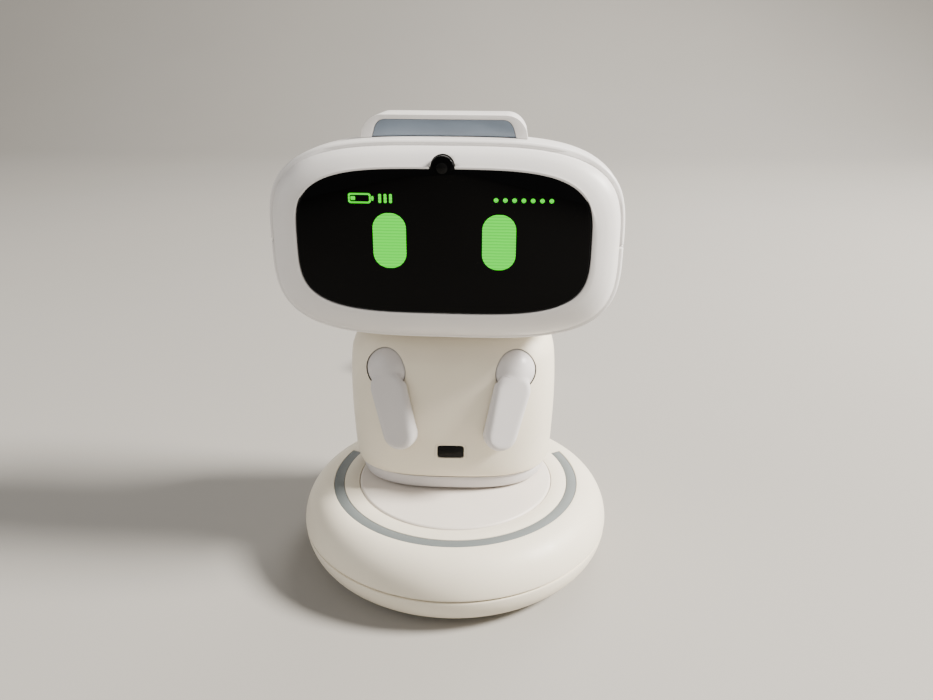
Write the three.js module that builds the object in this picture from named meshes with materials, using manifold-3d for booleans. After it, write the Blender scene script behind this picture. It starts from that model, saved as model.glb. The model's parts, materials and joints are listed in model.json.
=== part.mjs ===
// Desktop coding robot standing on its round charging dock, with the dock's USB lead.
// Millimetres, +Z up. The origin is on the surface the dock stands on, on the dock's axis,
// and the robot looks along -Y.

import * as THREE from 'three';
import { mergeVertices } from 'three/addons/utils/BufferGeometryUtils.js';
import Module from 'manifold-3d';

const wasm = await Module();
wasm.setup();

// ---- Driving dimensions -------------------------------------------------------------

const GAP = 0.3; // clearance kept between neighbouring pieces
const ROUND = 40; // sides of the large round pieces
const SMALL_ROUND = 12; // sides of pins, screws and bores
const FINE_ROUND = 20; // sides of middling round pieces
const WALL = 1.5; // wall of the moulded shells

// Dock, with its heights in its own frame
const DOCK_RISE = 1.6; // that frame's zero, above the surface
const DOCK_TOP = 14; // height of the flat top
const DOCK_R = 33.6; // widest radius
const DOCK_FLAT_R = 27; // where the flat top turns into the rounded side
const DOCK_SEAM_Z = 6.1; // parting line, at the widest radius
const DOCK_LIP = 0.4; // how far the lower shell steps in under the upper one
const DOCK_FOOT_R = 27.4; // radius of the flat underside
const DOCK_UNDER_Z = -0.9; // underside of the lower shell
const FOOT_RING_IN = 21.8; // rubber ring under the dock
const FOOT_RING_OUT = 26.1;
const FOOT_RING_T = 1;
const RING_IN = 24.75;
const RING_OUT = 27;
const RING_DEPTH = 0.9;
const RING_OPEN = THREE.MathUtils.degToRad(65.5); // half of the opening at the back
const PLATE_R = 21.3; // charging plate
const PLATE_RISE = 0.35; // how far the plate stands above the flat top

// Body, in its own frame about the neck's axis, with the dock frame's heights
const BODY_X = -0.45;
const BODY_Y = 7; // the neck's axis, behind the dock's axis
const BODY_YAW = THREE.MathUtils.degToRad(-1.6);
const BODY_W = 44.4;
const BODY_D = 32.8;
const BODY_N = 3; // exponent of the rounded-square section
const BODY_BASE_Z = 18.3; // lower edge of the shells
const BODY_TOP_Z = 49.6;
const BODY_SPLIT_Y = 5; // parting plane of the two body shells
const NECK_HOLE_R = 7;
const FOOT_Z = DOCK_TOP + PLATE_RISE + GAP;
const FOOT_TOP_Z = BODY_BASE_Z - GAP;
const SENSOR_Z = 24.85;
const SENSOR_W = 5.5;
const SENSOR_H = 2.9;
const BUTTON_Z = 30;
const BUTTON_R = 2.6;

// Arms: a ball in a round socket carries a flat bar
const SHOULDER_X = 12.2;
const SHOULDER_Y = -11.3;
const SHOULDER_Z = 42.1;
const ARM_TURN = THREE.MathUtils.degToRad(14); // the arms face outwards
const ARM_LEAN = THREE.MathUtils.degToRad(14.2); // and converge downwards
const RIGHT_ARM_REST = THREE.MathUtils.degToRad(7.5); // and hang slightly forward
const LEFT_ARM_REST = THREE.MathUtils.degToRad(6);
const BALL_R = 5.2;
const SOCKET_R = 5.5;
const BAR_W = 8; // at the shoulder
const BAR_TIP_W = 7;
const BAR_LEN = 16.9; // from the shoulder's centre to the tip
const BAR_T = 3.6; // back from the ball's front
const BAR_TOP = 0.3; // top of the bar, above the shoulder's centre
const BAR_SHOULDER = -3.5; // where its sides start to round over
const SHAFT_R = 0.8;
const MOTOR_R = 2;

// Head, in its own frame about the neck's axis
const HEAD_YAW = THREE.MathUtils.degToRad(-2.2);
const HEAD_Z = 69.95; // height of the head's middle, where the rear shells part
const HEAD_W = 65.2;
const HEAD_H = 37;
const HEAD_N = 3.5;
const FACE_Y = -23.7; // front of the face
const HEAD_SEAM_Y = -19.3; // joint of bezel and rear shells
const HEAD_BACK_Y = 10;
const BEZEL_W = 63.2;
const BEZEL_H = 35;
const GLASS_W = 52.5;
const GLASS_H = 26.2;
const GLASS_N = 3.7;
const GLASS_Z = HEAD_Z + 1.05; // the glass sits a little above the head's middle
const CAMERA_Z = GLASS_Z + GLASS_H / 2;
const CAMERA_R = 2.1;
const NECK_R = 6.6;
const TILT_Z = 64;
const PIN_R = 1.2;
const POD_W_BASE = 31;
const POD_W_TOP = 27.4;
const POD_X = -0.5; // the cover sits slightly to one side
const POD_TOP_Z = 92.25;
const POD_FRONT_Y = -15;
const POD_BACK_Y = -4;
const POD_RIM = 1.7; // at the sides of the touch panel
const POD_TOP_RIM = 0.75; // above it

// Lead
const LEAD_D = 3.3;
const SOCKET_Z = 6.6; // height of the USB-C socket's axis in the dock's frame
const PLUG_Z = SOCKET_Z + DOCK_RISE;
const PLUG_START_Y = 34.1;
const PLUG_END_Y = 48;
const RELIEF_END_Y = 55;
const COIL_X = -1;
const COIL_Y = 98;
const COIL_IN_R = 13.8;
const COIL_OUT_R = 24.2;
const COIL_H = 10.2;

// ---- Materials ------------------------------------------------------------------------

function plastic(color, roughness = 0.45, metalness = 0) {
  return new THREE.MeshStandardMaterial({ color, roughness, metalness });
}

const CREAM = plastic(0xe6e2d8);
const COOL_WHITE = plastic(0xdedbd9);
const RING_GREY = plastic(0x8b9292, 0.55);
const PANEL_BLUE = plastic(0x8e99a8, 0.2);
const BLACK_GLASS = plastic(0x050506, 0.06);
const BLACK = plastic(0x0b0b0c, 0.3);
const RUBBER = plastic(0x3a3a3c, 0.9);
const LEAD_WHITE = plastic(0xe8e6e2, 0.5);
const BOARD_GREEN = plastic(0x1f5a3a, 0.6);
const STEEL = plastic(0xb8bcc2, 0.3, 1);
const COPPER = plastic(0xb4703c, 0.35, 1);
const FERRITE = plastic(0x4a4a50, 0.7);
const FOIL = plastic(0x9aa3ad, 0.5);
const MOTOR_BLUE = plastic(0x28415f, 0.5);

// ---- Geometry helpers -------------------------------------------------------------------

function toSolid(geometry) {
  const bare = geometry.clone();
  bare.deleteAttribute('normal');
  bare.deleteAttribute('uv');
  const merged = mergeVertices(bare, 1e-4);
  return new wasm.Manifold(new wasm.Mesh({
    numProp: 3,
    vertProperties: new Float32Array(merged.attributes.position.array),
    triVerts: new Uint32Array(merged.index.array),
  }));
}

function toGeometry(solid) {
  const mesh = solid.getMesh();
  const geometry = new THREE.BufferGeometry();
  geometry.setAttribute('position', new THREE.BufferAttribute(new Float32Array(mesh.vertProperties), 3));
  geometry.setIndex(new THREE.BufferAttribute(new Uint32Array(mesh.triVerts), 1));
  return geometry;
}

function cut(geometry, ...tools) {
  return toGeometry(tools.reduce((left, tool) => left.subtract(toSolid(tool)), toSolid(geometry)));
}

function join(geometry, ...others) {
  return toGeometry(others.reduce((left, other) => left.add(toSolid(other)), toSolid(geometry)));
}

function common(geometry, other) {
  return toGeometry(toSolid(geometry).intersect(toSolid(other)));
}

function block(x0, x1, y0, y1, z0, z1) {
  const geometry = new THREE.BoxGeometry(x1 - x0, y1 - y0, z1 - z0);
  return geometry.translate((x0 + x1) / 2, (y0 + y1) / 2, (z0 + z1) / 2);
}

// A solid of revolution about Z from [radius, height] points, listed from the bottom up on
// the outside and back down on the inside or the axis.
function turned(profile, sides = ROUND) {
  const points = profile.map(([r, z]) => new THREE.Vector2(r, z));
  points.push(points[0].clone());
  return new THREE.LatheGeometry(points, sides).rotateX(Math.PI / 2);
}

function cylinderZ(radius, z0, z1, sides = SMALL_ROUND) {
  const geometry = new THREE.CylinderGeometry(radius, radius, z1 - z0, sides);
  return geometry.rotateX(Math.PI / 2).translate(0, 0, (z0 + z1) / 2);
}

function cylinderY(radius, y0, y1, sides = SMALL_ROUND) {
  return new THREE.CylinderGeometry(radius, radius, y1 - y0, sides).translate(0, (y0 + y1) / 2, 0);
}

function cylinderX(radius, x0, x1, sides = SMALL_ROUND) {
  const geometry = new THREE.CylinderGeometry(radius, radius, Math.abs(x1 - x0), sides);
  return geometry.rotateZ(Math.PI / 2).translate((x0 + x1) / 2, 0, 0);
}

// Points of a superellipse: a rounded rectangle whose sides bulge slightly.
function superellipse(width, height, exponent, count) {
  const power = 2 / exponent;
  return Array.from({ length: count }, (_, i) => {
    const angle = (2 * Math.PI * (i + 0.5)) / count;
    const c = Math.cos(angle);
    const s = Math.sin(angle);
    return [
      (width / 2) * Math.sign(c) * Math.abs(c) ** power,
      (height / 2) * Math.sign(s) * Math.abs(s) ** power,
    ];
  });
}

// A closed solid through a stack of outlines that all have the same number of points.
function loft(sections) {
  const count = sections[0].length;
  const positions = sections.flat().flat();
  const index = [];
  for (let level = 0; level < sections.length - 1; level += 1) {
    for (let i = 0; i < count; i += 1) {
      const a = level * count + i;
      const b = level * count + ((i + 1) % count);
      index.push(a, b, b + count, a, b + count, a + count);
    }
  }
  const last = (sections.length - 1) * count;
  for (let i = 1; i < count - 1; i += 1) {
    index.push(0, i + 1, i, last, last + i, last + i + 1);
  }
  const geometry = new THREE.BufferGeometry();
  geometry.setAttribute('position', new THREE.Float32BufferAttribute(positions, 3));
  geometry.setIndex(index);
  return geometry;
}

// Outlines stacked along Z: levels are [z, width, depth].
function standingLoft(levels, exponent, count, centreY = 0) {
  return loft(levels.map(([z, width, depth]) => (
    superellipse(width, depth, exponent, count).map(([x, y]) => [x, y + centreY, z])
  )));
}

// Outlines stacked along Y, seen from the front: levels are [y, width, height, middle z].
function facingLoft(levels, exponent, count) {
  return loft(levels.map(([y, width, height, middle]) => (
    superellipse(width, height, exponent, count).map(([x, z]) => [x, y, z + middle])
  )).reverse());
}

function shrink(levels, amount) {
  return levels.map(([place, a, b, ...rest]) => [place, a - 2 * amount, b - 2 * amount, ...rest]);
}

const root = new THREE.Group();

function addPart(parent, name, geometry, material, place = [0, 0, 0], turn = [0, 0, 0]) {
  const mesh = new THREE.Mesh(geometry, material);
  mesh.name = name;
  mesh.position.set(...place);
  mesh.rotation.set(...turn);
  parent.add(mesh);
  return mesh;
}

// A pan-head screw standing head down, with its tip up and the head's seat at z = 0.
function screw(length = 4, radius = 0.75) {
  const sides = 8;
  const shank = cylinderZ(radius, -0.2, length, sides);
  const head = cylinderZ(radius * 1.9, -1, 0, sides);
  const slot = block(-radius * 1.3, radius * 1.3, -0.2, 0.2, -1.2, -0.6);
  return cut(join(head, shank), slot);
}

// ---- Dock ---------------------------------------------------------------------------------

// Quarter-ellipse points from (r0, z0) to (r0 + dr, z0 + dz); rising ones start level.
function roundedCorner(r0, z0, dr, dz, steps, risingFirst) {
  return Array.from({ length: steps + 1 }, (_, i) => {
    const angle = (Math.PI / 2) * (i / steps);
    const first = risingFirst ? 1 - Math.cos(angle) : Math.sin(angle);
    const second = risingFirst ? Math.sin(angle) : 1 - Math.cos(angle);
    return [r0 + dr * first, z0 + dz * second];
  });
}

const DOCK_SCREW_R = 24.2;
const DOCK_SCREW_ANGLES = [45, 135, 225, 315].map(THREE.MathUtils.degToRad);
const SEAM_GAP = 0.2;
const SOCKET_W = 9;
const SOCKET_H = 3.3;

function atAngle(geometry, radius, angle) {
  return geometry.clone().translate(radius * Math.cos(angle), radius * Math.sin(angle), 0);
}

function socketOpening(extra) {
  return block(-SOCKET_W / 2 - extra, SOCKET_W / 2 + extra, 25, DOCK_R + 2,
    SOCKET_Z - SOCKET_H / 2 - extra, SOCKET_Z + SOCKET_H / 2 + extra);
}

function dockBaseShell() {
  const rimR = DOCK_R - DOCK_LIP;
  const topZ = DOCK_SEAM_Z - SEAM_GAP;
  const outer = roundedCorner(DOCK_FOOT_R, DOCK_UNDER_Z, rimR - DOCK_FOOT_R, topZ - DOCK_UNDER_Z, 5, false);
  const inner = outer.map(([r, z]) => [r - WALL, Math.min(z + WALL, topZ)]).reverse().slice(1);
  const floorTop = [0, DOCK_UNDER_Z + WALL];
  const shell = turned([[0, DOCK_UNDER_Z], ...outer, [rimR - WALL, topZ], ...inner, floorTop]);
  const bosses = DOCK_SCREW_ANGLES.map((angle) => atAngle(cylinderZ(2.6, 0, 4.3), DOCK_SCREW_R, angle));
  const pockets = DOCK_SCREW_ANGLES.map((angle) => atAngle(cylinderZ(1.8, -2, 2.9), DOCK_SCREW_R, angle));
  const bores = DOCK_SCREW_ANGLES.map((angle) => atAngle(cylinderZ(1.1, 2, 5), DOCK_SCREW_R, angle));
  const grooveTop = FOOT_RING_T - DOCK_RISE + GAP;
  const groove = turned([
    [FOOT_RING_IN - GAP, -2],
    [FOOT_RING_OUT + GAP, -2],
    [FOOT_RING_OUT + GAP, grooveTop],
    [FOOT_RING_IN - GAP, grooveTop],
  ]);
  return cut(join(shell, ...bosses), groove, ...pockets, ...bores, socketOpening(GAP));
}

function dockTopShell() {
  const outer = roundedCorner(DOCK_R, DOCK_SEAM_Z, DOCK_FLAT_R - DOCK_R, DOCK_TOP - DOCK_SEAM_Z, 7, true);
  const ceiling = DOCK_TOP - 1.8;
  const inner = roundedCorner(DOCK_R - 1.6, DOCK_SEAM_Z, -5.2, ceiling - DOCK_SEAM_Z, 4, true).reverse();
  const seat = [[PLATE_R + GAP, DOCK_TOP], [PLATE_R + GAP, 11.6], [19.5, 11.6], [19.5, 10.1], [23.2, 10.1]];
  const shell = turned([...outer, ...seat, [23.2, ceiling], ...inner]);
  const bosses = DOCK_SCREW_ANGLES.map((angle) => atAngle(cylinderZ(2.2, 4.6, 12.4), DOCK_SCREW_R, angle));
  const bores = DOCK_SCREW_ANGLES.map((angle) => atAngle(cylinderZ(1.1, 4, 9), DOCK_SCREW_R, angle));
  const groove = lightRingShape(0.2, DOCK_TOP - RING_DEPTH, RING_DEPTH + 1);
  return cut(join(shell, ...bosses), groove, ...bores, socketOpening(GAP));
}

// A flat band round the dock, open at the back, with square-cut ends.
function lightRingShape(extra, z0, height) {
  const opening = RING_OPEN - extra / RING_OUT;
  const start = Math.PI / 2 + opening;
  const end = Math.PI / 2 - opening + 2 * Math.PI;
  const shape = new THREE.Shape();
  shape.absarc(0, 0, RING_OUT - GAP / 2 + extra, start, end, false);
  shape.absarc(0, 0, RING_IN + GAP / 2 - extra, end, start, true);
  shape.closePath();
  const options = { depth: height, bevelEnabled: false, curveSegments: 28 };
  const geometry = new THREE.ExtrudeGeometry(shape, options);
  return geometry.translate(0, 0, z0);
}

function chargingPlate() {
  const top = DOCK_TOP + PLATE_RISE;
  return turned([[0, 11.9], [PLATE_R, 11.9], [PLATE_R, top - 0.6], [PLATE_R - 0.2, top - 0.2],
    [PLATE_R - 0.6, top], [0, top]]);
}

function dockBoard() {
  const board = cylinderZ(19, 4.4, 5.6, FINE_ROUND);
  const chips = [
    block(-5, 3, -6, 2, 5.5, 7),
    block(6, 11, -10, -4, 5.5, 8),
    block(-13, -8, -3, 5, 5.5, 7.4),
    block(7, 13, 3, 9, 5.5, 8.2),
  ];
  return join(board, ...chips);
}

function usbSocket() {
  const can = block(-SOCKET_W / 2, SOCKET_W / 2, 25.4, DOCK_R - 0.8,
    SOCKET_Z - SOCKET_H / 2, SOCKET_Z + SOCKET_H / 2);
  const mouth = block(-SOCKET_W / 2 + 0.35, SOCKET_W / 2 - 0.35, 26.4, DOCK_R,
    SOCKET_Z - SOCKET_H / 2 + 0.3, SOCKET_Z + SOCKET_H / 2 - 0.3);
  const tongue = block(-3.3, 3.3, 26, 31.4, SOCKET_Z - 0.35, SOCKET_Z + 0.35);
  return join(cut(can, mouth), tongue);
}

function footRing() {
  return turned([
    [FOOT_RING_IN, 0],
    [FOOT_RING_OUT, 0],
    [FOOT_RING_OUT, FOOT_RING_T],
    [FOOT_RING_IN, FOOT_RING_T],
  ]);
}

function buildDock() {
  const dock = new THREE.Group();
  dock.position.z = DOCK_RISE;
  addPart(dock, 'dock_base_shell', dockBaseShell(), CREAM);
  addPart(dock, 'dock_top_shell', dockTopShell(), CREAM);
  const ring = lightRingShape(0, DOCK_TOP - RING_DEPTH + 0.2, RING_DEPTH - 0.2);
  addPart(dock, 'dock_light_ring', ring, RING_GREY);
  addPart(dock, 'charging_plate', chargingPlate(), CREAM);
  addPart(dock, 'dock_rubber_ring', footRing(), RUBBER, [0, 0, -DOCK_RISE]);
  addPart(dock, 'transmit_coil', turned([[7, 10.4], [18.6, 10.4], [18.6, 11.5], [7, 11.5]], 32), COPPER);
  addPart(dock, 'coil_shield', cylinderZ(18.8, 9.2, 10.1, 32), FERRITE);
  addPart(dock, 'dock_board', dockBoard(), BOARD_GREEN);
  addPart(dock, 'usb_c_socket', usbSocket(), STEEL);
  DOCK_SCREW_ANGLES.forEach((angle, i) => {
    const place = [DOCK_SCREW_R * Math.cos(angle), DOCK_SCREW_R * Math.sin(angle), 2.7];
    addPart(dock, `dock_screw_${i + 1}`, screw(), STEEL, place);
  });
  root.add(dock);
}

// ---- Lead ---------------------------------------------------------------------------------

// The stretch from the plug down to the surface and along it to the coil, in order.
const LEAD_ROUTE = [
  [0, RELIEF_END_Y + GAP, PLUG_Z], [0, 58, 7.9], [0.2, 61, 6.8], [0.9, 64, 4.9], [2.2, 67, 3],
  [4.2, 70, 1.9], [6.7, 72.8, 1.65], [9.3, 75.7, 1.65], [12.2, 79.25, 1.65], [14.6, 81.9, 1.65],
];

function leadTube() {
  const points = LEAD_ROUTE.map((point) => new THREE.Vector3(...point));
  const path = new THREE.CatmullRomCurve3(points, false, 'centripetal');
  const section = new THREE.Shape();
  section.absarc(0, 0, LEAD_D / 2 - 0.02, 0, 2 * Math.PI, false);
  const tube = new THREE.ExtrudeGeometry(section, {
    extrudePath: path, steps: 14, curveSegments: 8, bevelEnabled: false,
  });
  return cut(tube, cylinderZ(COIL_OUT_R + GAP, -1, COIL_H, 32).translate(COIL_X, COIL_Y, 0));
}

// A rounded block along Y whose section is a flat superellipse: levels are [y, width, height].
function plugBody(levels, middle, count = 16) {
  return facingLoft(levels.map(([y, w, h]) => [y, w, h, middle]), 3.6, count);
}

function usbCPlug() {
  const body = plugBody([
    [PLUG_START_Y, 10.6, 5.4],
    [PLUG_START_Y + 0.8, 11.4, 6.2],
    [PLUG_END_Y - 2, 11.4, 6.2],
    [PLUG_END_Y, 7.5, 5.2],
    [RELIEF_END_Y, 4.6, 4.2],
  ], PLUG_Z);
  const tip = block(-4.1, 4.1, 27.2, PLUG_START_Y + 0.4, PLUG_Z - 1.15, PLUG_Z + 1.15);
  const mouth = block(-3.7, 3.7, 26, 33, PLUG_Z - 0.75, PLUG_Z + 0.75);
  return cut(join(body, tip), mouth);
}

const USB_A_Z = COIL_H + GAP + 3.6;

function usbAPlug() {
  const body = plugBody([
    [0, 4.4, 4.2],
    [6, 6.4, 5.4],
    [7.5, 14.4, 7.2],
    [22, 14.4, 7.2],
    [23, 13.2, 6.2],
  ], 0);
  const can = block(-6, 6, 22.5, 34.5, -2.25, 2.25);
  const mouth = block(-5.6, 5.6, 26, 36, -0.2, 1.85);
  return cut(join(body, can), mouth).rotateZ(-Math.PI / 2);
}

function leadCoil() {
  const ring = turned([[COIL_IN_R, 0.1], [COIL_OUT_R, 0.1], [COIL_OUT_R, COIL_H], [COIL_IN_R, COIL_H]], 32);
  const window = block(-4, 4, COIL_IN_R - 1, COIL_OUT_R + 1, -1, COIL_H + 1);
  const core = block(-5, 5, COIL_IN_R + 1.1, COIL_OUT_R - 1.3, 1.1, COIL_H - 1.1);
  return join(cut(ring, window), common(core, ring));
}

function cableTie() {
  const outer = block(-3.6, 3.6, COIL_IN_R - 0.1, COIL_OUT_R, 0, COIL_H);
  const inner = block(-4, 4, COIL_IN_R + 0.7, COIL_OUT_R - 0.9, 0.8, COIL_H - 0.8);
  return cut(outer, inner);
}

function buildLead() {
  const lead = new THREE.Group();
  addPart(lead, 'usb_c_plug', usbCPlug(), LEAD_WHITE);
  addPart(lead, 'charging_lead', leadTube(), LEAD_WHITE);
  addPart(lead, 'lead_coil', leadCoil(), LEAD_WHITE, [COIL_X, COIL_Y, 0]);
  addPart(lead, 'cable_tie', cableTie(), RUBBER, [COIL_X, COIL_Y, 0]);
  addPart(lead, 'usb_a_plug', usbAPlug(), LEAD_WHITE, [COIL_X - 10.5, COIL_Y - 7, USB_A_Z]);
  root.add(lead);
}

// ---- Body ---------------------------------------------------------------------------------

// Height, then how much narrower and shallower than the widest section the shell is there.
const BODY_LEVELS = [
  [BODY_BASE_Z, 3], [19, 1.9], [21.5, 1], [26, 0.5], [32, 0.1], [38, 0.2], [43, 0.8], [45.4, 1.8],
  [47.6, 4.2], [49, 7.4], [BODY_TOP_Z, 10.8],
].map(([z, less]) => [z, BODY_W - less, BODY_D - less]);

function bodyOuter() {
  return standingLoft(BODY_LEVELS, BODY_N, ROUND);
}

function bodyInner() {
  const levels = shrink(BODY_LEVELS, WALL).map(([z, w, d], i) => [i === 0 ? z - 2 : z, w, d]);
  const last = levels.length - 1;
  levels[last - 1][0] = BODY_TOP_Z - WALL - 0.8;
  levels[last][0] = BODY_TOP_Z - WALL;
  return standingLoft(levels, BODY_N, ROUND);
}

// A shape made about the shoulder's centre, turned and leaned as the arm is. Side is -1 for
// the robot's own right arm, at -X, and 1 for its left arm.
function atShoulder(geometry, side) {
  const rest = side < 0 ? RIGHT_ARM_REST : LEFT_ARM_REST;
  return geometry.rotateX(-rest).rotateY(side * ARM_LEAN).rotateZ(side * ARM_TURN)
    .translate(side * SHOULDER_X, SHOULDER_Y, SHOULDER_Z);
}

function ball(radius, sides) {
  return new THREE.SphereGeometry(radius, sides, Math.round(sides / 2));
}

function bodyShell() {
  const sockets = [-1, 1].map((side) => atShoulder(ball(SOCKET_R, FINE_ROUND), side));
  const neckHole = cylinderZ(NECK_HOLE_R, BODY_TOP_Z - 5, BODY_TOP_Z + 5, FINE_ROUND);
  return cut(bodyOuter(), bodyInner(), neckHole, ...sockets);
}

function frontShell(shell) {
  const window = block(-SENSOR_W / 2 - 0.9, SENSOR_W / 2 + 0.9, -20, -12,
    SENSOR_Z - SENSOR_H / 2 - 0.9, SENSOR_Z + SENSOR_H / 2 + 0.9);
  return cut(shell, block(-40, 40, BODY_SPLIT_Y - 0.1, 40, 0, 80), window);
}

function rearShell(shell) {
  const buttonHole = cylinderY(BUTTON_R + GAP, 10, 20).translate(0, 0, BUTTON_Z);
  const bosses = BODY_SCREWS.map(([x, z]) => cylinderY(2.3, 9.5, 14.6).translate(x, 0, z));
  const heads = BODY_SCREWS.map(([x, z]) => cylinderY(1.6, SCREW_SEAT_Y, 20).translate(x, 0, z));
  const bores = BODY_SCREWS.map(([x, z]) => cylinderY(0.9, 9, 20).translate(x, 0, z));
  const half = cut(shell, block(-40, 40, -40, BODY_SPLIT_Y + 0.1, 0, 80), buttonHole);
  return cut(join(half, ...bosses), ...heads, ...bores);
}

const BODY_SCREWS = [[-14, 23], [14, 23], [-14, 41], [14, 41]];
const SCREW_SEAT_Y = 13.2; // where the body screws' heads sit

function footPlate() {
  const plate = standingLoft([
    [FOOT_Z, 38.6, 27],
    [FOOT_Z + 0.5, 39.8, 28.2],
    [FOOT_TOP_Z - 0.4, 41.4, 29.8],
    [FOOT_TOP_Z, 41, 29.4],
  ], 2.8, ROUND);
  return cut(plate, cylinderZ(12.8, 16, 20, 32));
}

// A rounded block the size of the sensor window, larger all round by grow.
function windowBlock(grow, y0, y1) {
  const size = [SENSOR_W + 2 * grow, SENSOR_H + 2 * grow, SENSOR_Z];
  return facingLoft([[y0, ...size], [y1, ...size]], 7, 24);
}

function sensorRim() {
  return cut(windowBlock(0.5, -16.25, -13.8), windowBlock(0.1, -18, -13));
}

function sensorWindow() {
  return windowBlock(-0.1, -16.1, -14);
}

function mainBoard() {
  return join(block(-14.2, 14.2, -12.2, -11, 20.5, 36), block(-6, 4, -11.1, -9.4, 27, 35),
    block(7, 13, -11.1, -9, 22, 28), block(-13, -8, -11.1, -9.6, 22, 30));
}

function neckMotor() {
  const can = block(-6.2, 6.2, -6, 7, 31, 43.6);
  const ears = block(-10, 10, -6, 7, 40, 41.4);
  return join(can, ears, cylinderZ(1.6, 43, 47.4, 12));
}

function powerButton() {
  return turned([[0, 0], [BUTTON_R, 0], [BUTTON_R, 1.9], [BUTTON_R - 0.5, 2.3], [0, 2.3]], FINE_ROUND)
    .rotateX(-Math.PI / 2);
}

// The bar's front lies level with the front of the ball.
function armBar() {
  const half = BAR_W / 2;
  const tip = BAR_TIP_W / 2;
  const outline = new THREE.Shape();
  outline.moveTo(-half, BAR_SHOULDER);
  outline.lineTo(-tip, tip - BAR_LEN);
  outline.absarc(0, tip - BAR_LEN, tip, Math.PI, 2 * Math.PI, false);
  outline.lineTo(half, BAR_SHOULDER);
  outline.quadraticCurveTo(half * 0.85, BAR_TOP, 0, BAR_TOP);
  outline.quadraticCurveTo(-half * 0.85, BAR_TOP, -half, BAR_SHOULDER);
  const bevel = 0.9;
  const bar = new THREE.ExtrudeGeometry(outline, {
    depth: BAR_T - 2 * bevel, bevelThickness: bevel, bevelSize: bevel, bevelOffset: -bevel,
    bevelSegments: 2, curveSegments: 6,
  });
  return bar.rotateX(Math.PI / 2).translate(0, BAR_T - bevel - BALL_R, 0);
}

function bodySkin(grow) {
  return standingLoft(shrink(BODY_LEVELS, -grow), BODY_N, ROUND);
}

// The shaft runs straight across the body, from the ball's bore to the motor.
function acrossShoulder(geometry, side) {
  return geometry.translate(side * SHOULDER_X, SHOULDER_Y, SHOULDER_Z);
}

// The bar's back follows the body's front.
function arm(side) {
  const bore = acrossShoulder(cylinderX(SHAFT_R + GAP, -side * 2, -side * 8), side);
  const bar = cut(atShoulder(armBar(), side), bodySkin(GAP + 0.1));
  return cut(join(bar, atShoulder(ball(BALL_R, FINE_ROUND), side)), bore);
}

function shoulderShaft(side) {
  return acrossShoulder(cylinderX(SHAFT_R, -side * 2.3, -side * 6.6), side);
}

function armMotor(side) {
  return acrossShoulder(cylinderX(MOTOR_R, -side * 6.9, -side * 11.4), side);
}

function buildBody() {
  const body = new THREE.Group();
  body.position.set(BODY_X, BODY_Y, DOCK_RISE);
  body.rotation.z = BODY_YAW;
  const shell = bodyShell();
  addPart(body, 'foot_plate', footPlate(), COOL_WHITE);
  addPart(body, 'body_front_shell', frontShell(shell), CREAM);
  addPart(body, 'body_rear_shell', rearShell(shell), CREAM);
  addPart(body, 'sensor_rim', sensorRim(), COOL_WHITE);
  addPart(body, 'sensor_window', sensorWindow(), BLACK);
  addPart(body, 'receive_coil', turned([[5, 16.3], [12.3, 16.3], [12.3, 17.3], [5, 17.3]], 32), COPPER);
  const speaker = turned([[0, 18.4], [7, 18.4], [7, 21.4], [4, 22.6], [0, 22.6]], FINE_ROUND);
  addPart(body, 'speaker', speaker, BLACK);
  addPart(body, 'battery', block(-11, 11, 8, 12.6, 20.5, 38), FOIL);
  addPart(body, 'main_board', mainBoard(), BOARD_GREEN);
  addPart(body, 'neck_motor', neckMotor(), MOTOR_BLUE);
  addPart(body, 'power_button', powerButton(), COOL_WHITE, [0, 14.8, BUTTON_Z]);
  [[-1, 'right'], [1, 'left']].forEach(([side, word]) => {
    addPart(body, `arm_${word}`, arm(side), COOL_WHITE);
    addPart(body, `shoulder_shaft_${word}`, shoulderShaft(side), STEEL);
    addPart(body, `arm_motor_${word}`, armMotor(side), MOTOR_BLUE);
  });
  BODY_SCREWS.forEach(([x, z], i) => {
    const place = [x, SCREW_SEAT_Y + 0.2, z];
    addPart(body, `body_screw_${i + 1}`, screw(3, 0.6), STEEL, place, [Math.PI / 2, 0, 0]);
  });
  body.add(buildHead());
  root.add(body);
}

// ---- Head ---------------------------------------------------------------------------------

const REAR_LEVELS = [
  [HEAD_SEAM_Y, 1.4], [HEAD_SEAM_Y + 0.5, 0.3], [HEAD_SEAM_Y + 1.4, 0], [-12, 0], [-6, 0.8], [0, 3],
  [4.5, 7], [7.6, 12], [9.3, 17.5], [HEAD_BACK_Y, 23],
].map(([y, less]) => [y, HEAD_W - less, HEAD_H - less, HEAD_Z]);

const BEZEL_LEVELS = [
  [HEAD_SEAM_Y - SEAM_GAP, 0], [-20.8, 0.5], [-21.9, 2.1], [-22.8, 4.6], [-23.4, 7], [FACE_Y, 9],
].map(([y, less]) => [y, BEZEL_W - less, BEZEL_H - less, HEAD_Z]);

function rearHollow() {
  const levels = shrink(REAR_LEVELS, WALL);
  levels[0][0] -= 2;
  const last = levels.length - 1;
  levels[last][0] = HEAD_BACK_Y - WALL;
  levels[last - 1][0] = HEAD_BACK_Y - WALL - 0.4;
  return facingLoft([...levels].sort((a, b) => a[0] - b[0]), HEAD_N, ROUND);
}

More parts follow.
